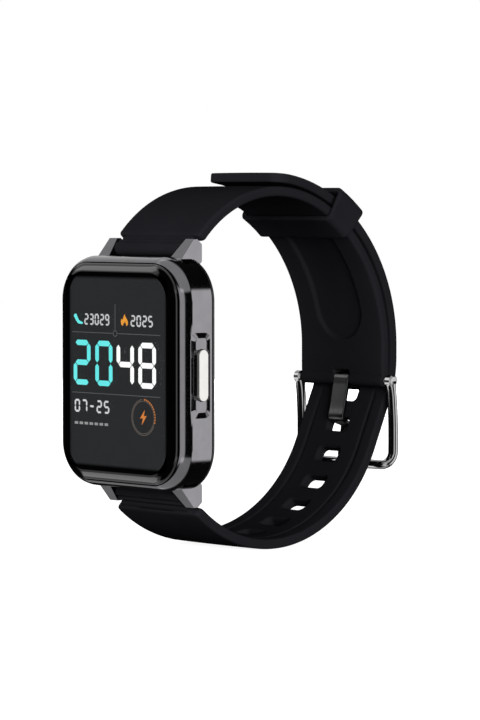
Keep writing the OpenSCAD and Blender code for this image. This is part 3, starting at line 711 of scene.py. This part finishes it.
def make_button():
    """Pill-shaped cap with a rounded edge, on a stem with a groove for its clip."""
    length, width, edge = 9.8, 2.4, 0.12
    round_x = BUTTON_TOP - edge - 0.02
    sections = [(BUTTON_BASE, length - 0.1, width - 0.1), (BUTTON_BASE + 0.05, length, width),
                (round_x, length, width)]
    for t in np.radians([18, 36, 54, 72, 90]):
        less = 2 * edge * (1 - math.cos(t))
        sections.append((round_x + edge * math.sin(t), length - less, width - less))
    sections += [(BUTTON_TOP - 0.005, length - 0.6, width - 0.6),
                 (BUTTON_TOP, length - 1.4, width - 1.4)]
    make("button_cap", loft(pill_rings(sections)), BUTTON_METAL, "button",
         ["side_button"], sharp=35)
    stem = [(14.5, 0.7), (14.6, STEM_R), (14.85, STEM_R), (14.85, 0.6), (15.1, 0.6),
            (15.1, STEM_R), (BUTTON_BASE + 0.02, STEM_R)]
    make("button_stem", lathe_x(stem, (FACE_Y + BUTTON_D, 0.0)), STEEL, "button",
         sharp=30)


make_button()

# --- Rear cover, sensor and contacts --------------------------------------------------

CONTACTS = [(-3.8, -13.0), (3.8, -13.0)]


def rear_geometry():
    """Dished cover that rises to a low dome round the sensor window."""
    edge, back, dome, pocket, slope_in, inner = 8.7, 10.7, 11.6, 11.0, 4.7, 9.65
    rings = [from_front(cover_outline(o), d) for o, d in
             [(1.6, edge), (0.06, edge), (0.0, edge + 0.06), (0.0, edge + 0.25)]]
    for t in np.linspace(0.12, 1, 12):
        d = edge + 0.25 + (back - edge - 0.25) * math.sin(t * math.pi / 2) ** 1.15
        rings.append(from_front(cover_outline(slope_in * t ** 1.6), d))
    for r, d in [(9.4, back), (8.7, back + 0.05), (8.25, back + 0.25), (7.95, back + 0.55),
                 (7.6, back + 0.78), (7.1, dome - 0.03), (6.5, dome), (5.85, dome),
                 (5.76, dome - 0.08), (5.76, pocket), (5.2, pocket), (5.2, 9.0), (5.3, 8.9),
                 (5.6, 8.9), (6.9, inner)]:
        rings.append(from_front(circle_like(cover_outline(slope_in), r), d))
    rings += [from_front(cover_outline(2.4), inner), from_front(cover_outline(2.2), edge)]
    return loft(rings, ring_closed=True)


cover = make("rear_cover_dished", rear_geometry(), COVER_PLASTIC, "case",
             ["rear_cover"], sharp=30)
boolean(cover, [turned([(1.25, 10.4), (1.25, 10.62), (1.4, 10.85)], at) for at in CONTACTS],
        sharp=30)
PAD = [(0.6, 9.5), (0.6, 10.42), (1.15, 10.43), (1.2, 10.5), (1.2, 10.66), (1.1, 10.74),
       (0.5, 10.72), (0.2, 10.71)]
make("charging_pads", combine([turned(PAD, at, 40) for at in CONTACTS]), GOLD, "case",
     ["charging_contacts"], sharp=30)
LENS = [(5.6, 11.0), (5.7, 11.05), (5.7, 11.5), (5.6, 11.6), (5.2, 11.7), (4.2, 11.77),
        (2.5, 11.8), (0.8, 11.8)]
make("sensor_lens", turned(LENS, sides=64), window_material(), "case",
     ["sensor_window"], sharp=30)

# --- Straps ---------------------------------------------------------------------------


class Station:
    """One section of a strap: a side-plane point on its middle surface, the way out, its sizes."""

    def __init__(self, p, out, half_w, rise, drop, s, edge=0.55):
        self.p, self.out = np.array(p, float), np.array(out, float)
        self.half_w, self.rise, self.drop, self.s, self.edge = half_w, rise, drop, s, edge


def strap_ring(st, columns, dent, corner=5):
    """Points round a strap's section: outer face, side, inner face, side."""
    e = min(st.edge, 0.9 * st.rise, 0.9 * st.drop, 0.9 * st.half_w)
    crown = min(0.06, 0.06 * st.rise)
    flat = st.half_w - e
    xs = columns * flat

    def turn(side, height, degrees):
        return [(side * flat + e * math.cos(a), height + e * math.sin(a))
                for a in np.radians(degrees)]

    high, low = st.rise - crown - e, -st.drop + e
    pts = [(x, st.rise - crown * x * x / st.half_w ** 2) for x in xs[::-1]]
    pts += turn(-1, high, np.linspace(90, 180, corner + 1)[1:])
    pts += turn(-1, low, np.linspace(180, 270, corner + 1)[:-1])
    pts += [(x, -st.drop + float(dent(x, st.s))) for x in xs]
    pts += turn(1, low, np.linspace(270, 360, corner + 1)[1:])
    pts += turn(1, high, np.linspace(0, 90, corner + 1)[:-1])
    return across(np.array(pts), st.p, st.out)


def strap(name, stations, columns, dent, body, node):
    rings = [strap_ring(st, columns, dent) for st in stations]
    return make(name, loft(rings), SILICONE, body, [node], sharp=50)


class Path:
    """Side-plane path of a strap's inner face, of arcs and straights; s is its length so far."""

    def __init__(self):
        self.pieces, self.length = [], 0.0

    def add(self, length, *data):
        self.pieces.append((self.length, length, data))
        self.length += length
        return self

    def arc(self, c, r, a0, a1):
        return self.add(math.radians(abs(a1 - a0)) * r, np.array(c, float), r, a0, a1)

    def line(self, p, q, out):
        p, q = np.array(p, float), np.array(q, float)
        return self.add(float(np.linalg.norm(q - p)), p, q, np.array(out, float))

    def at(self, s):
        """Point on the inner face and the direction out of the loop."""
        for start, length, data in self.pieces:
            if s <= start + length:
                break
        t = (s - start) / length
        if len(data) == 3:
            p, q, out = data
            return p + t * (q - p), out
        c, r, a0, a1 = data
        a = math.radians(a0 + t * (a1 - a0))
        out = np.array([math.cos(a), math.sin(a)])
        return c + r * out, out


STRAP_T = 2.0
NECK_HALF = (LUG_GAP - 0.5) / 2
BARREL_R, BAR_BORE_R, BUCKLE_BORE_R, EYE_R = 1.5, 0.78, 0.73, 1.3
PAST_EDGES = 13
U1_C, U1_R, U1_END = (-1.8, 3.4), 31.0, 61.0
U2_C, U2_R, U2_END = (0.915, 8.298), 25.4, 138.7
HINGE = (30.25, -3.2)
upper_path = Path().line((29.2, HINGE[1]), (29.2, 3.4), (1, 0)).arc(U1_C, U1_R, 0, U1_END)
upper_path.arc(U2_C, U2_R, U1_END, U2_END)


def joined(values, *more, apart=0.02):
    """All the values in order, none of them closer together than apart."""
    kept = []
    for value in sorted(np.concatenate([values, *more])):
        if not kept or value - kept[-1] > apart:
            kept.append(float(value))
    return kept


def bore(centre, r):
    """Cutter for a spring bar's hole across a strap."""
    return rod(centre, r, -PAST_EDGES, PAST_EDGES, 28)


def ridge(before):
    """Depth of the two grooves across the neck, at a distance before the bar."""
    return sum(0.5 * math.exp(-((before - at) / 0.26) ** 2) for at in (1.2, 0.15))


def end_stations(start, out, bar, s0):
    """Neck and barrel of a strap end between the lugs: stations from the shoulder to the tip."""
    ahead, deeper, edge = 1.22, 1.25, 0.35
    run = np.array(bar) - start
    length = np.linalg.norm(run)
    u = run / length
    normal = np.array([-u[1], u[0]])
    if np.dot(normal, out) < 0:
        normal = -normal
    stations = []
    for t in np.linspace(0.25, 1, 34):
        n = out * (1 - t) + normal * t
        n /= np.linalg.norm(n)
        h = 1.0 + 0.12 * smoothstep(0.25, 0.6, t)
        d = length * (1 - t)
        if d < BARREL_R:
            h = max(h * 0.93, math.sqrt(BARREL_R ** 2 - d ** 2))
        deep = h * (1 + (deeper - 1) * float(smoothstep(BARREL_R, 0, d)))
        stations.append(Station(start + u * length * t, n, NECK_HALF, h - ridge(d), deep,
                                s0 + length * t, edge))
    for a in np.radians([4, 8, 12, 16, 20, 24, 28, 32, 36, 42, 48, 54, 60, 70, 80, 87]):
        past = ahead * BARREL_R * math.sin(a)
        h = BARREL_R * math.cos(a)
        stations.append(Station(np.array(bar) + u * past, normal, NECK_HALF,
                                h - min(ridge(-past), 0.3 * h), deeper * h, s0 + length, edge))
    return stations


def shoulder(at, s):
    """The step in width where a strap meets the lugs, rounded off."""
    r, thinner, step = 0.7, 0.25, 0.3
    half_t = STRAP_T / 2
    stations = []
    for t in np.radians([0, 15, 30, 45, 60, 75, 90]):
        p, out = at(s - r * (1 - math.sin(t)))
        h = half_t - thinner * (1 - math.cos(t))
        stations.append(Station(p + out * half_t, out, STRAP_HALF - r * (1 - math.cos(t)), h, h, s))
    p, out = at(s + 0.02)
    return stations + [Station(p + out * half_t, out, half_w, half_t - step, half_t - step, s)
                       for half_w in (NECK_HALF + step, NECK_HALF)]


PANEL_HALF, PANEL_LOW, PANEL_DEPTH = 6.4, 8.0, 0.6
PANEL_TOP = 6.6 + math.radians(57) * U1_R


def panel_dent(x, s):
    """Depth of the recessed panel: a slot with round ends and a soft lip."""
    y = min(max(s, PANEL_LOW + PANEL_HALF), PANEL_TOP - PANEL_HALF)
    distance = PANEL_HALF - math.hypot(x, s - y)
    return PANEL_DEPTH * float(smoothstep(-0.2, 0.4, distance))


def upper_strap():
    """From the eye round the buckle's bar, which is notched for the tongue, up to the lugs."""
    edge, half_t, end = 0.6, STRAP_T / 2, upper_path.length
    notch_half, notch_low, notch_high, notch_round = 2.4, -8, -1.2, 0.3
    stations = []
    for a in np.radians([3, 10, 20, 30, 42, 54, 66, 78]):
        h = EYE_R * math.sin(a)
        stations.append(Station((HINGE[0], HINGE[1] - EYE_R * math.cos(a)), (1, 0), STRAP_HALF,
                                h, h, 0, edge))
    for s in joined(np.arange(0, 2.4, 0.15), np.arange(PANEL_LOW - 0.6, PANEL_TOP + 0.6, 0.25),
                    np.arange(2.4, end - 0.7, 0.6)):
        p, out = upper_path.at(s)
        h = half_t
        if s < 2.0:
            eye = math.sqrt(max(EYE_R ** 2 - s ** 2, 0))
            crease = 0.12 * math.exp(-((s - 0.95) / 0.28) ** 2)
            h = max(eye, half_t - crease)
        lift = half_t + 0.05 * (1 - float(smoothstep(0, 3, s)))
        stations.append(Station(p + out * lift, out, STRAP_HALF, h, h, s, edge))
    p, out = upper_path.at(end)
    stations += shoulder(upper_path.at, end) + end_stations(p + out * half_t, out, BAR, end)
    middle = np.arange(-7.2, 7.21, 0.3) / (STRAP_HALF - edge)
    sides = np.linspace(7.6, STRAP_HALF - edge, 7) / (STRAP_HALF - edge)
    columns = np.array(joined(middle, sides, -sides, apart=0.002))
    piece = strap("strap_buckle_half", stations, columns, panel_dent, "buckle_half", "buckle_strap")
    corners = [(-notch_half, notch_low), (notch_half, notch_low), (notch_half, notch_high),
               (-notch_half, notch_high)]
    notch = bevelled(loft([np.array([(x, y, z) for x, z in corners]) for y in (26, 34)]),
                     notch_round)
    boolean(piece, [notch, bore(HINGE, BUCKLE_BORE_R), bore(BAR, BAR_BORE_R)], sharp=50)


upper_strap()

LOW_C, LOW_R, LOW_START, LOW_END = (0.3, -4.2), 28.8, -132.0, -24.0
BACK_Y, BEND_R, TOP_R, TAIL_T = 32.6, 18.0, 32.8, 1.9
low_out = np.array([math.cos(math.radians(LOW_END)), math.sin(math.radians(LOW_END))])
climb_dir = np.array([-low_out[1], low_out[0]])
climb_start = np.array(LOW_C) + LOW_R * low_out
climb_l = (BACK_Y - climb_start[0] - BEND_R * (1 - low_out[0])) / climb_dir[0]
climb_end = climb_start + climb_l * climb_dir
bend_c = climb_end - BEND_R * low_out
top_c = np.array([BACK_Y - TOP_R, 3.74])
TIP_Y, TIP_R, TIP_EDGE, TAIL_HALF, TAIL_EDGE = 1.9, 3.2, 0.4, 10.9, 0.42
tip_angle = math.degrees(math.acos((TIP_Y - top_c[0]) / (TOP_R + TAIL_T)))
tail_path = Path().arc(LOW_C, LOW_R, LOW_START, LOW_END).line(climb_start, climb_end, low_out)
tail_path.arc(bend_c, BEND_R, LOW_END, 0).line((BACK_Y, bend_c[1]), (BACK_Y, top_c[1]), (1, 0))
tail_path.arc(top_c, TOP_R, 0, tip_angle)
LOWEST_S = math.radians(-90 - LOW_START) * LOW_R
ARC_S = math.radians(LOW_END - LOW_START) * LOW_R
HOLES, HOLE_FIRST, HOLE_PITCH, HOLE_L, HOLE_W = 7, 4.2, 6.6, 5.8, 3.0
GROOVE_X, GROOVE_HALF, GROOVE_DEPTH = 7.6, 0.45, 0.32


def groove_dent(x, s):
    """Two fine grooves on the inner face, fading out towards the lugs and past the buckle."""
    reach = float(smoothstep(LOWEST_S - 6.0, LOWEST_S - 3.0, s)
                  * (1 - smoothstep(ARC_S + 10.5, ARC_S + 12.5, s)))
    return GROOVE_DEPTH * reach * max(0.0, 1 - ((abs(x) - GROOVE_X) / GROOVE_HALF) ** 2)


def tail_half_w(p):
    """Half width of the tail, which narrows from the lugs to the end of its first arc."""
    narrow_y = 19.5
    t = float(np.clip((p[0] + narrow_y) / (climb_start[0] + narrow_y), 0, 1))
    return STRAP_HALF + (TAIL_HALF - STRAP_HALF) * t


def tip_half_w(u):
    """Half width of the tail's round tip at a distance from its end."""
    return TAIL_HALF - TIP_R + math.sqrt(max(TIP_R ** 2 - (TIP_R - u) ** 2, 0))


def hole_cutter(k):
    """Adjustment hole with rounded mouths, placed across the strap."""
    p, out = tail_path.at(HOLE_FIRST + k * HOLE_PITCH + LOWEST_S)
    along = np.array([-out[1], out[0]])
    mouth, past = 0.32, 1.2
    levels = [(-past, mouth), (0.0, mouth)]
    levels += [(mouth * (1 - math.cos(a)), mouth * (1 - math.sin(a)))
               for a in np.radians([30, 60, 90])]
    levels += [(STRAP_T - mouth * (1 - math.cos(a)), mouth * (1 - math.sin(a)))
               for a in np.radians([90, 60, 30, 0])]
    rings = []
    for h, grow in levels + [(STRAP_T + past, mouth)]:
        outline = rounded_rect(HOLE_L + 2 * grow, HOLE_W + 2 * grow, 1.0 + grow, arc=6, side=2)
        ring = across(outline, p, along)
        ring[:, 1:] += h * out
        rings.append(ring)
    return loft(rings)


def tail_strap():
    """From the lugs round the bottom of the loop, through buckle and keeper to the round tip."""
    end, bar = tail_path.length, (BAR[0], -BAR[1])
    p, out = tail_path.at(0)
    neck = end_stations(p + out * STRAP_T / 2, out, bar, 0)
    stations = neck[::-1] + shoulder(lambda s: tail_path.at(-s), 0.0)[::-1]
    for s in joined(np.arange(1.0, end - TIP_R - 0.1, 0.6),
                    np.arange(LOWEST_S - 6.2, ARC_S + 12.6, 0.5),
                    end - np.linspace(TIP_R, TIP_EDGE, 14)):
        p, out = tail_path.at(s)
        t = STRAP_T + (TAIL_T - STRAP_T) * float(smoothstep(ARC_S + 10, ARC_S + 18, s))
        half = tail_half_w(p) if s < ARC_S else TAIL_HALF
        if end - s < TIP_R:
            half = tip_half_w(end - s)
        stations.append(Station(p + out * t / 2, out, half, t / 2, t / 2, s, TAIL_EDGE))
    for a in np.radians([18, 36, 54, 72, 90]):
        p, out = tail_path.at(end - TIP_EDGE + TIP_EDGE * math.sin(a))
        less = TIP_EDGE * (1 - math.cos(a))
        half = max(tip_half_w(TIP_EDGE - TIP_EDGE * math.sin(a)),
                   tip_half_w(TIP_EDGE) - 1.2 * (1 - math.cos(a))) - 0.3 * less
        h = TAIL_T / 2 - less
        stations.append(Station(p + out * TAIL_T / 2, out, half, h, h, end, TAIL_EDGE))
    near = np.array([6.8, 7.0, 7.15, 7.3, 7.45, 7.6, 7.75, 7.9, 8.05, 8.2, 8.4]) / TAIL_HALF
    spread = np.concatenate([np.linspace(0, 6.2, 8), [8.9, 9.6, 10.3, TAIL_HALF]]) / TAIL_HALF
    columns = np.array(joined(near, -near, spread, -spread, apart=0.002))
    piece = strap("strap_tail_half", stations, columns, groove_dent, "tail_half", "tail_strap")
    cutters = [hole_cutter(k) for k in range(HOLES)] + [bore(bar, BAR_BORE_R)]
    boolean(piece, [combine(cutters)], sharp=50)


tail_strap()

# --- Keeper ---------------------------------------------------------------------------


def keeper_loop():
    """Rings round the keeper's wall: outside from front to back, then inside back to front."""
    inner_r, outer_r, half, thick, edge = 29.8, 37.3, 13.15, 1.0, 0.36
    outer_corner, inner_corner = 1.6, 0.7
    a0, a1, margin = 47.5, 59.5, 1.5
    mid_r = (inner_r + outer_r) / 2
    per_mm = math.degrees(1 / mid_r)

    def ring(amount, angle, inside):
        grow, wall = (amount, thick) if inside else (-amount, 0)
        w, h = 2 * (half - wall) + 2 * grow, outer_r - inner_r - 2 * wall + 2 * grow
        corner = (inner_corner if inside else outer_corner) + grow
        outline = rounded_rect(w, h, corner, arc=10, side=10)
        a = math.radians(angle)
        return across(outline + [0, mid_r], np.array(U1_C), (math.cos(a), math.sin(a)))

    def end(angle, sign, inside):
        """Rounded edge at one end of the wall, from the end face on."""
        return [ring(edge * (1 - math.cos(t)), angle + sign * per_mm * edge * (1 - math.sin(t)),
                     inside) for t in np.radians([90, 67.5, 45, 22.5, 0])]

    middle = np.linspace(a0 + margin, a1 - margin, 6)
    back = np.linspace(a1 - margin, a0 + margin, 6)
    return (end(a0, 1, False) + [ring(0, a, False) for a in middle] + end(a1, -1, False)[::-1]
            + end(a1, -1, True) + [ring(0, a, True) for a in back] + end(a0, 1, True)[::-1])


make("keeper_loop", loft(keeper_loop(), ring_closed=True), SILICONE, "keeper",
     ["strap_keeper"], sharp=50)

# --- Buckle ---------------------------------------------------------------------------

BOW_C, BOW_R = np.array([28.3, -17.3]), 2.6


def swept(points, sizes, up, power=2.6, sides=28):
    """A bar of squarish-round section along 3-D points; its half sizes are along up and across."""
    a = np.linspace(0, 2 * math.pi, sides, endpoint=False)
    c = np.sign(np.cos(a)) * np.abs(np.cos(a)) ** (2 / power)
    s = np.sign(np.sin(a)) * np.abs(np.sin(a)) ** (2 / power)
    points, side = np.array(points, float), np.array(up, float)
    rings = []
    for p, (h, w), t in zip(points, sizes, unit_tangents(points)):
        side = side - np.dot(side, t) * t
        side /= np.linalg.norm(side)
        rings.append(p + np.outer(c * h, side) + np.outer(s * w, np.cross(t, side)))
    return loft(rings)


def buckle_frame():
    """One bent bar: from eye to eye down both arms, round the bows and across the front."""
    arm_x, corner_x, corner_y, front_size = 13.3, 2.4, 0.6, (0.9, 0.88)
    eye = np.array(HINGE)
    top = BOW_C + [BOW_R, 0]
    front_z = BOW_C[1] - BOW_R
    pts, sizes = [], []
    for t in np.linspace(0, 1, 16):
        p = eye + (top - eye) * t
        pts.append((arm_x, p[0] + 0.25 * math.sin(math.pi * t), p[1]))
        sizes.append((1.0, 0.8 + 0.3 * (1 - smoothstep(0.0, 0.16, t))))
    for a in np.radians(np.arange(-8, -75, -8)):
        p = BOW_C + BOW_R * np.array([math.cos(a), math.sin(a)])
        pts.append((arm_x - 0.5 * (1 - math.cos(a * 1.1)), p[0], p[1]))
        sizes.append((0.98, 0.8))
    for a in np.radians(np.arange(15, 91, 15)):
        pts.append((arm_x - 0.6 - corner_x * (1 - math.cos(a)),
                    BOW_C[0] + corner_y * (1 - math.sin(a)), front_z))
        sizes.append((0.92, 0.85))
    pts += [(x, BOW_C[0], front_z) for x in (8.5, 6, 4, 2)]
    sizes += [front_size] * 4
    pts = pts + [(0, BOW_C[0], front_z)] + [(-x, y, z) for x, y, z in pts[::-1]]
    sizes = sizes + [front_size] + sizes[::-1]
    piece = make("buckle_bar_frame", swept(pts, sizes, (1, 0, 0)), BUCKLE_METAL, "frame",
                 ["buckle_frame"])
    boolean(piece, [rod(eye, 1.2, s * arm_x - 0.95, s * arm_x + 0.9, 36, 0.3) for s in (1, -1)],
            "UNION")
    boolean(piece, [rod(eye, PIN_HOLE_R, -13.8, 13.8, 24)])


buckle_frame()


def spline(points, per):
    """Smooth curve through points (Catmull-Rom)."""
    points = np.array(points, float)
    padded = np.vstack([2 * points[0] - points[1], points, 2 * points[-1] - points[-2]])
    out = []
    for i in range(1, len(padded) - 2):
        p0, p1, p2, p3 = padded[i - 1:i + 3]
        for t in np.linspace(0, 1, per, endpoint=False):
            out.append(0.5 * (2 * p1 + (p2 - p0) * t + (2 * p0 - 5 * p1 + 4 * p2 - p3) * t ** 2
                              + (3 * p1 - p0 - 3 * p2 + p3) * t ** 3))
    return out + [points[-1]]


def tongue():
    """Flat strip: rolled round the bar, down inside the tail, out of its hole to the front bar."""
    hole_s, roll_r, thick, corner = 4.87, 0.85, 0.78, 0.24
    eye = np.array(HINGE)
    hole = climb_start + hole_s * climb_dir
    inside, outside = hole - 0.75 * low_out, hole + (STRAP_T + 0.65) * low_out
    tip = np.array([BOW_C[0], BOW_C[1] - BOW_R]) + [1.3, -0.9]
    roll = [eye + roll_r * np.array([math.cos(a), math.sin(a)])
            for a in np.radians(np.arange(-95, 181, 12))]
    root = eye + [-roll_r, -0.35]
    plate = spline([root, root + 0.33 * (inside - root), root + 0.72 * (inside - root),
                    inside + [0.02, 0.55], inside + [0.35, -0.15],
                    0.5 * (inside + outside) + [0.1, -0.15], outside + [-0.35, 0.1],
                    outside + [0.0, -0.5], 0.5 * (outside + tip) + [0.1, 0], tip], 6)
    path = np.array(roll + plate[1:], float)
    rings = []
    for k, p, u in zip(np.linspace(0, 1, len(path)), path, unit_tangents(path)):
        half_w = 2.1 - 0.4 * float(smoothstep(0.6, 0.75, k)) - 0.5 * float(smoothstep(0.93, 1.0, k))
        outline = rounded_rect(2 * half_w, thick, corner, arc=4, side=2)
        rings.append(across(outline, p, (-u[1], u[0])))
    make("buckle_pin_tongue", loft(rings), TONGUE_METAL, "tongue",
         ["buckle_tongue"], sharp=45)


tongue()

BAR_TUBE = [(-11.9, 0.6), (-11.8, 0.7), (-2.3, 0.7), (2.3, 0.7), (11.8, 0.7), (11.9, 0.6)]
make("buckle_bar", lathe_x(BAR_TUBE, HINGE), STEEL, "buckle_half", ["buckle_bar_tube"],
     sharp=30)

# --- Carried-over CAD nodes -----------------------------------------------------------

BATTERY_FOIL = metal("battery_foil", (0.55, 0.56, 0.58), (0.25, 0.4), grain=0.02)
TUNGSTEN = metal("weight_tungsten", (0.3, 0.3, 0.31), (0.4, 0.55), grain=0.004)
CHIP = moulded("chip_black", (0.02, 0.02, 0.022), (0.35, 0.5), per_mm=16)
ORANGE = moulded("plunger_orange", (0.7, 0.16, 0.03), (0.4, 0.5))
LED = moulded("led_lens", (0.12, 0.7, 0.2), (0.08, 0.15), grain=0.001)
BOARD = board_material()
CARRIED = [
    (STEEL, ["board_screws", "motor_can", "button_clip", "charging_magnets", "upper_bar_tube",
             "upper_bar_spring", "upper_tip_left", "upper_tip_right", "lower_bar_tube",
             "lower_bar_spring", "lower_tip_left", "lower_tip_right", "buckle_bar_spring",
             "buckle_tip_left", "buckle_tip_right"]),
    (SEAL_RUBBER, ["glass_adhesive", "button_seal", "rear_gasket"]),
    (INNER_PLASTIC, ["inner_carrier", "button_switch"]),
    (BOARD, ["main_board", "sensor_board"]),
    (CHIP, ["board_chips"]), (BATTERY_FOIL, ["battery"]), (TUNGSTEN, ["motor_weight"]),
    (ORANGE, ["switch_plunger"]), (LED, ["sensor_leds"]),
]
for material, names in CARRIED:
    for name in names:
        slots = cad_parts[name].data.materials
        slots.clear()
        slots.append(material)

# --- Stage, lights and camera ---------------------------------------------------------


def stage_floor():
    """Seamless pale floor under the watch, in metres."""
    size, n, z = 2.4, 24, cad_box[0].z
    at = [-size / 2 + i * (size / n) for i in range(n + 1)]
    row = n + 1
    faces = [(j * row + i, j * row + i + 1, (j + 1) * row + i + 1, (j + 1) * row + i)
             for j in range(n) for i in range(n)]
    mesh = bpy.data.meshes.new("floor")
    mesh.from_pydata([(x, y, z) for y in at for x in at], [], faces)
    floor = bpy.data.objects.new("floor", mesh)
    bpy.context.scene.collection.objects.link(floor)
    m = Nodes("floor_pale")
    place = m.node("ShaderNodeMapping", Vector=m.place, Scale=(2.2, 2.2, 2.2)).outputs["Vector"]
    gradient = m.node("ShaderNodeTexGradient", Vector=place)
    gradient.gradient_type = "SPHERICAL"
    glow = m.map_range(gradient.outputs["Fac"], 0.3, 0.9, 1.0, 0.9)
    mesh.materials.append(m.set(
        Base_Color=m.ramp(m.noise(0.004, 2), (0.3, (0.8, 0.8, 0.8)), (0.7, (0.82, 0.82, 0.82))),
        Roughness=0.9, Emission_Color=(1, 1, 1, 1), Emission_Strength=glow, Specular_IOR_Level=0.0))
    floor.visible_glossy = False
    floor.visible_diffuse = False
    floor.visible_transmission = False


def soft_lamp(name, azimuth, elevation, radiance, size=0.35, distance=0.6):
    """Square area lamp for the matt parts, in degrees and metres. Azimuth 90 is the button side."""
    azimuth, elevation = math.radians(azimuth), math.radians(elevation)
    back = Vector((math.sin(azimuth) * math.cos(elevation),
                   -math.cos(azimuth) * math.cos(elevation), math.sin(elevation)))
    data = bpy.data.lights.new(name, "AREA")
    data.size = size
    data.energy = radiance * math.pi * size * size
    lamp = bpy.data.objects.new(name, data)
    bpy.context.scene.collection.objects.link(lamp)
    lamp.location = back * distance
    lamp.rotation_mode = "QUATERNION"
    lamp.rotation_quaternion = back.to_track_quat("Z", "Y")
    lamp.visible_camera = False
    lamp.visible_glossy = False


# Softboxes of the studio, as the range of directions that each fills: x, y, z, soft edge, radiance
SOFTBOXES = {
    "front_right": ((0.3, 1.0), (-0.72, -0.24), (-0.5, 0.45), 0.13, 1.25),
    "side_back": ((0.5, 1.0), (0.5, 0.9), (-0.41, 0.34), 0.1, 1.8),
    "top_left": ((-0.9, -0.55), (-0.7, 0.66), (0.2, 0.75), 0.06, 0.8),
    "glass_top": ((-0.88, -0.6), (-0.62, -0.35), (0.28, 0.64), 0.04, 1.5),
    "low_left": ((-0.78, -0.5), (-0.66, 0.3), (-0.75, -0.18), 0.05, 0.55),
    "glass_low": ((-0.78, -0.6), (-0.62, -0.26), (-0.66, -0.34), 0.03, 1.5),
    "overhead": ((-0.6, 0.95), (-0.45, 0.32), (0.45, 1.0), 0.1, 0.9),
    "underfoot": ((-0.6, 0.95), (-0.45, 0.32), (-1.0, -0.45), 0.1, 0.75),
}
AMBIENT, BASE_GLOW = 0.06, 0.012


def studio_world():
    """White to the camera, soft glowing panels in a dark room to glossy parts, dim to matt ones."""
    world = bpy.data.worlds.new("studio")
    bpy.context.scene.world = world
    world.use_nodes = True
    world.cycles.sampling_method = "NONE"
    tree = Tree(world.node_tree)
    direction = tree.node("ShaderNodeTexCoord").outputs["Generated"]
    axes = tree.node("ShaderNodeSeparateXYZ", Vector=direction)

    def window(value, low, high, soft):
        middle, half = (low + high) / 2, (high - low) / 2
        away = tree.maths("ABSOLUTE", tree.maths("SUBTRACT", value, middle))
        return tree.map_range(away, half, half + soft, 1.0, 0.0, "SMOOTHSTEP")

    total = BASE_GLOW
    for *ranges, soft, radiance in SOFTBOXES.values():
        glow = radiance
        for value, (low, high) in zip(axes.outputs, ranges):
            glow = tree.maths("MULTIPLY", window(value, low, high, soft), glow)
        total = tree.maths("ADD", glow, total)
    path = tree.node("ShaderNodeLightPath")
    matt = tree.node("ShaderNodeMix", Factor=path.outputs["Is Diffuse Ray"], A=total, B=AMBIENT)
    strength = tree.node("ShaderNodeMix", Factor=path.outputs["Is Camera Ray"],
                         A=matt.outputs["Result"], B=1.0)
    background = tree.tree.nodes["Background"]
    tree.feed(background.inputs["Color"], (1, 1, 1, 1))
    tree.feed(background.inputs["Strength"], strength.outputs["Result"])


def camera():
    """The camera stands where the watch shows its front, its button side and the loop's inside."""
    azimuth, elevation = math.radians(47.881), math.radians(2.708)
    data = bpy.data.cameras.new("camera")
    data.sensor_width = 36
    data.lens = 173.6
    data.clip_start, data.clip_end = 0.05, 10
    cam = bpy.data.objects.new("camera", data)
    bpy.context.scene.collection.objects.link(cam)
    cam.location = (0.5069, -0.4567, 0.0338)
    cam.rotation_euler = (math.pi / 2 - elevation, 0, azimuth)
    bpy.context.scene.camera = cam


stage_floor()
soft_lamp("front_lamp", 0, 16, 4.6)
soft_lamp("side_lamp", 68, 4, 9.5)
soft_lamp("back_lamp", 215, 0, 6.0)
studio_world()
camera()
bpy.context.scene.view_settings.view_transform = "Standard"
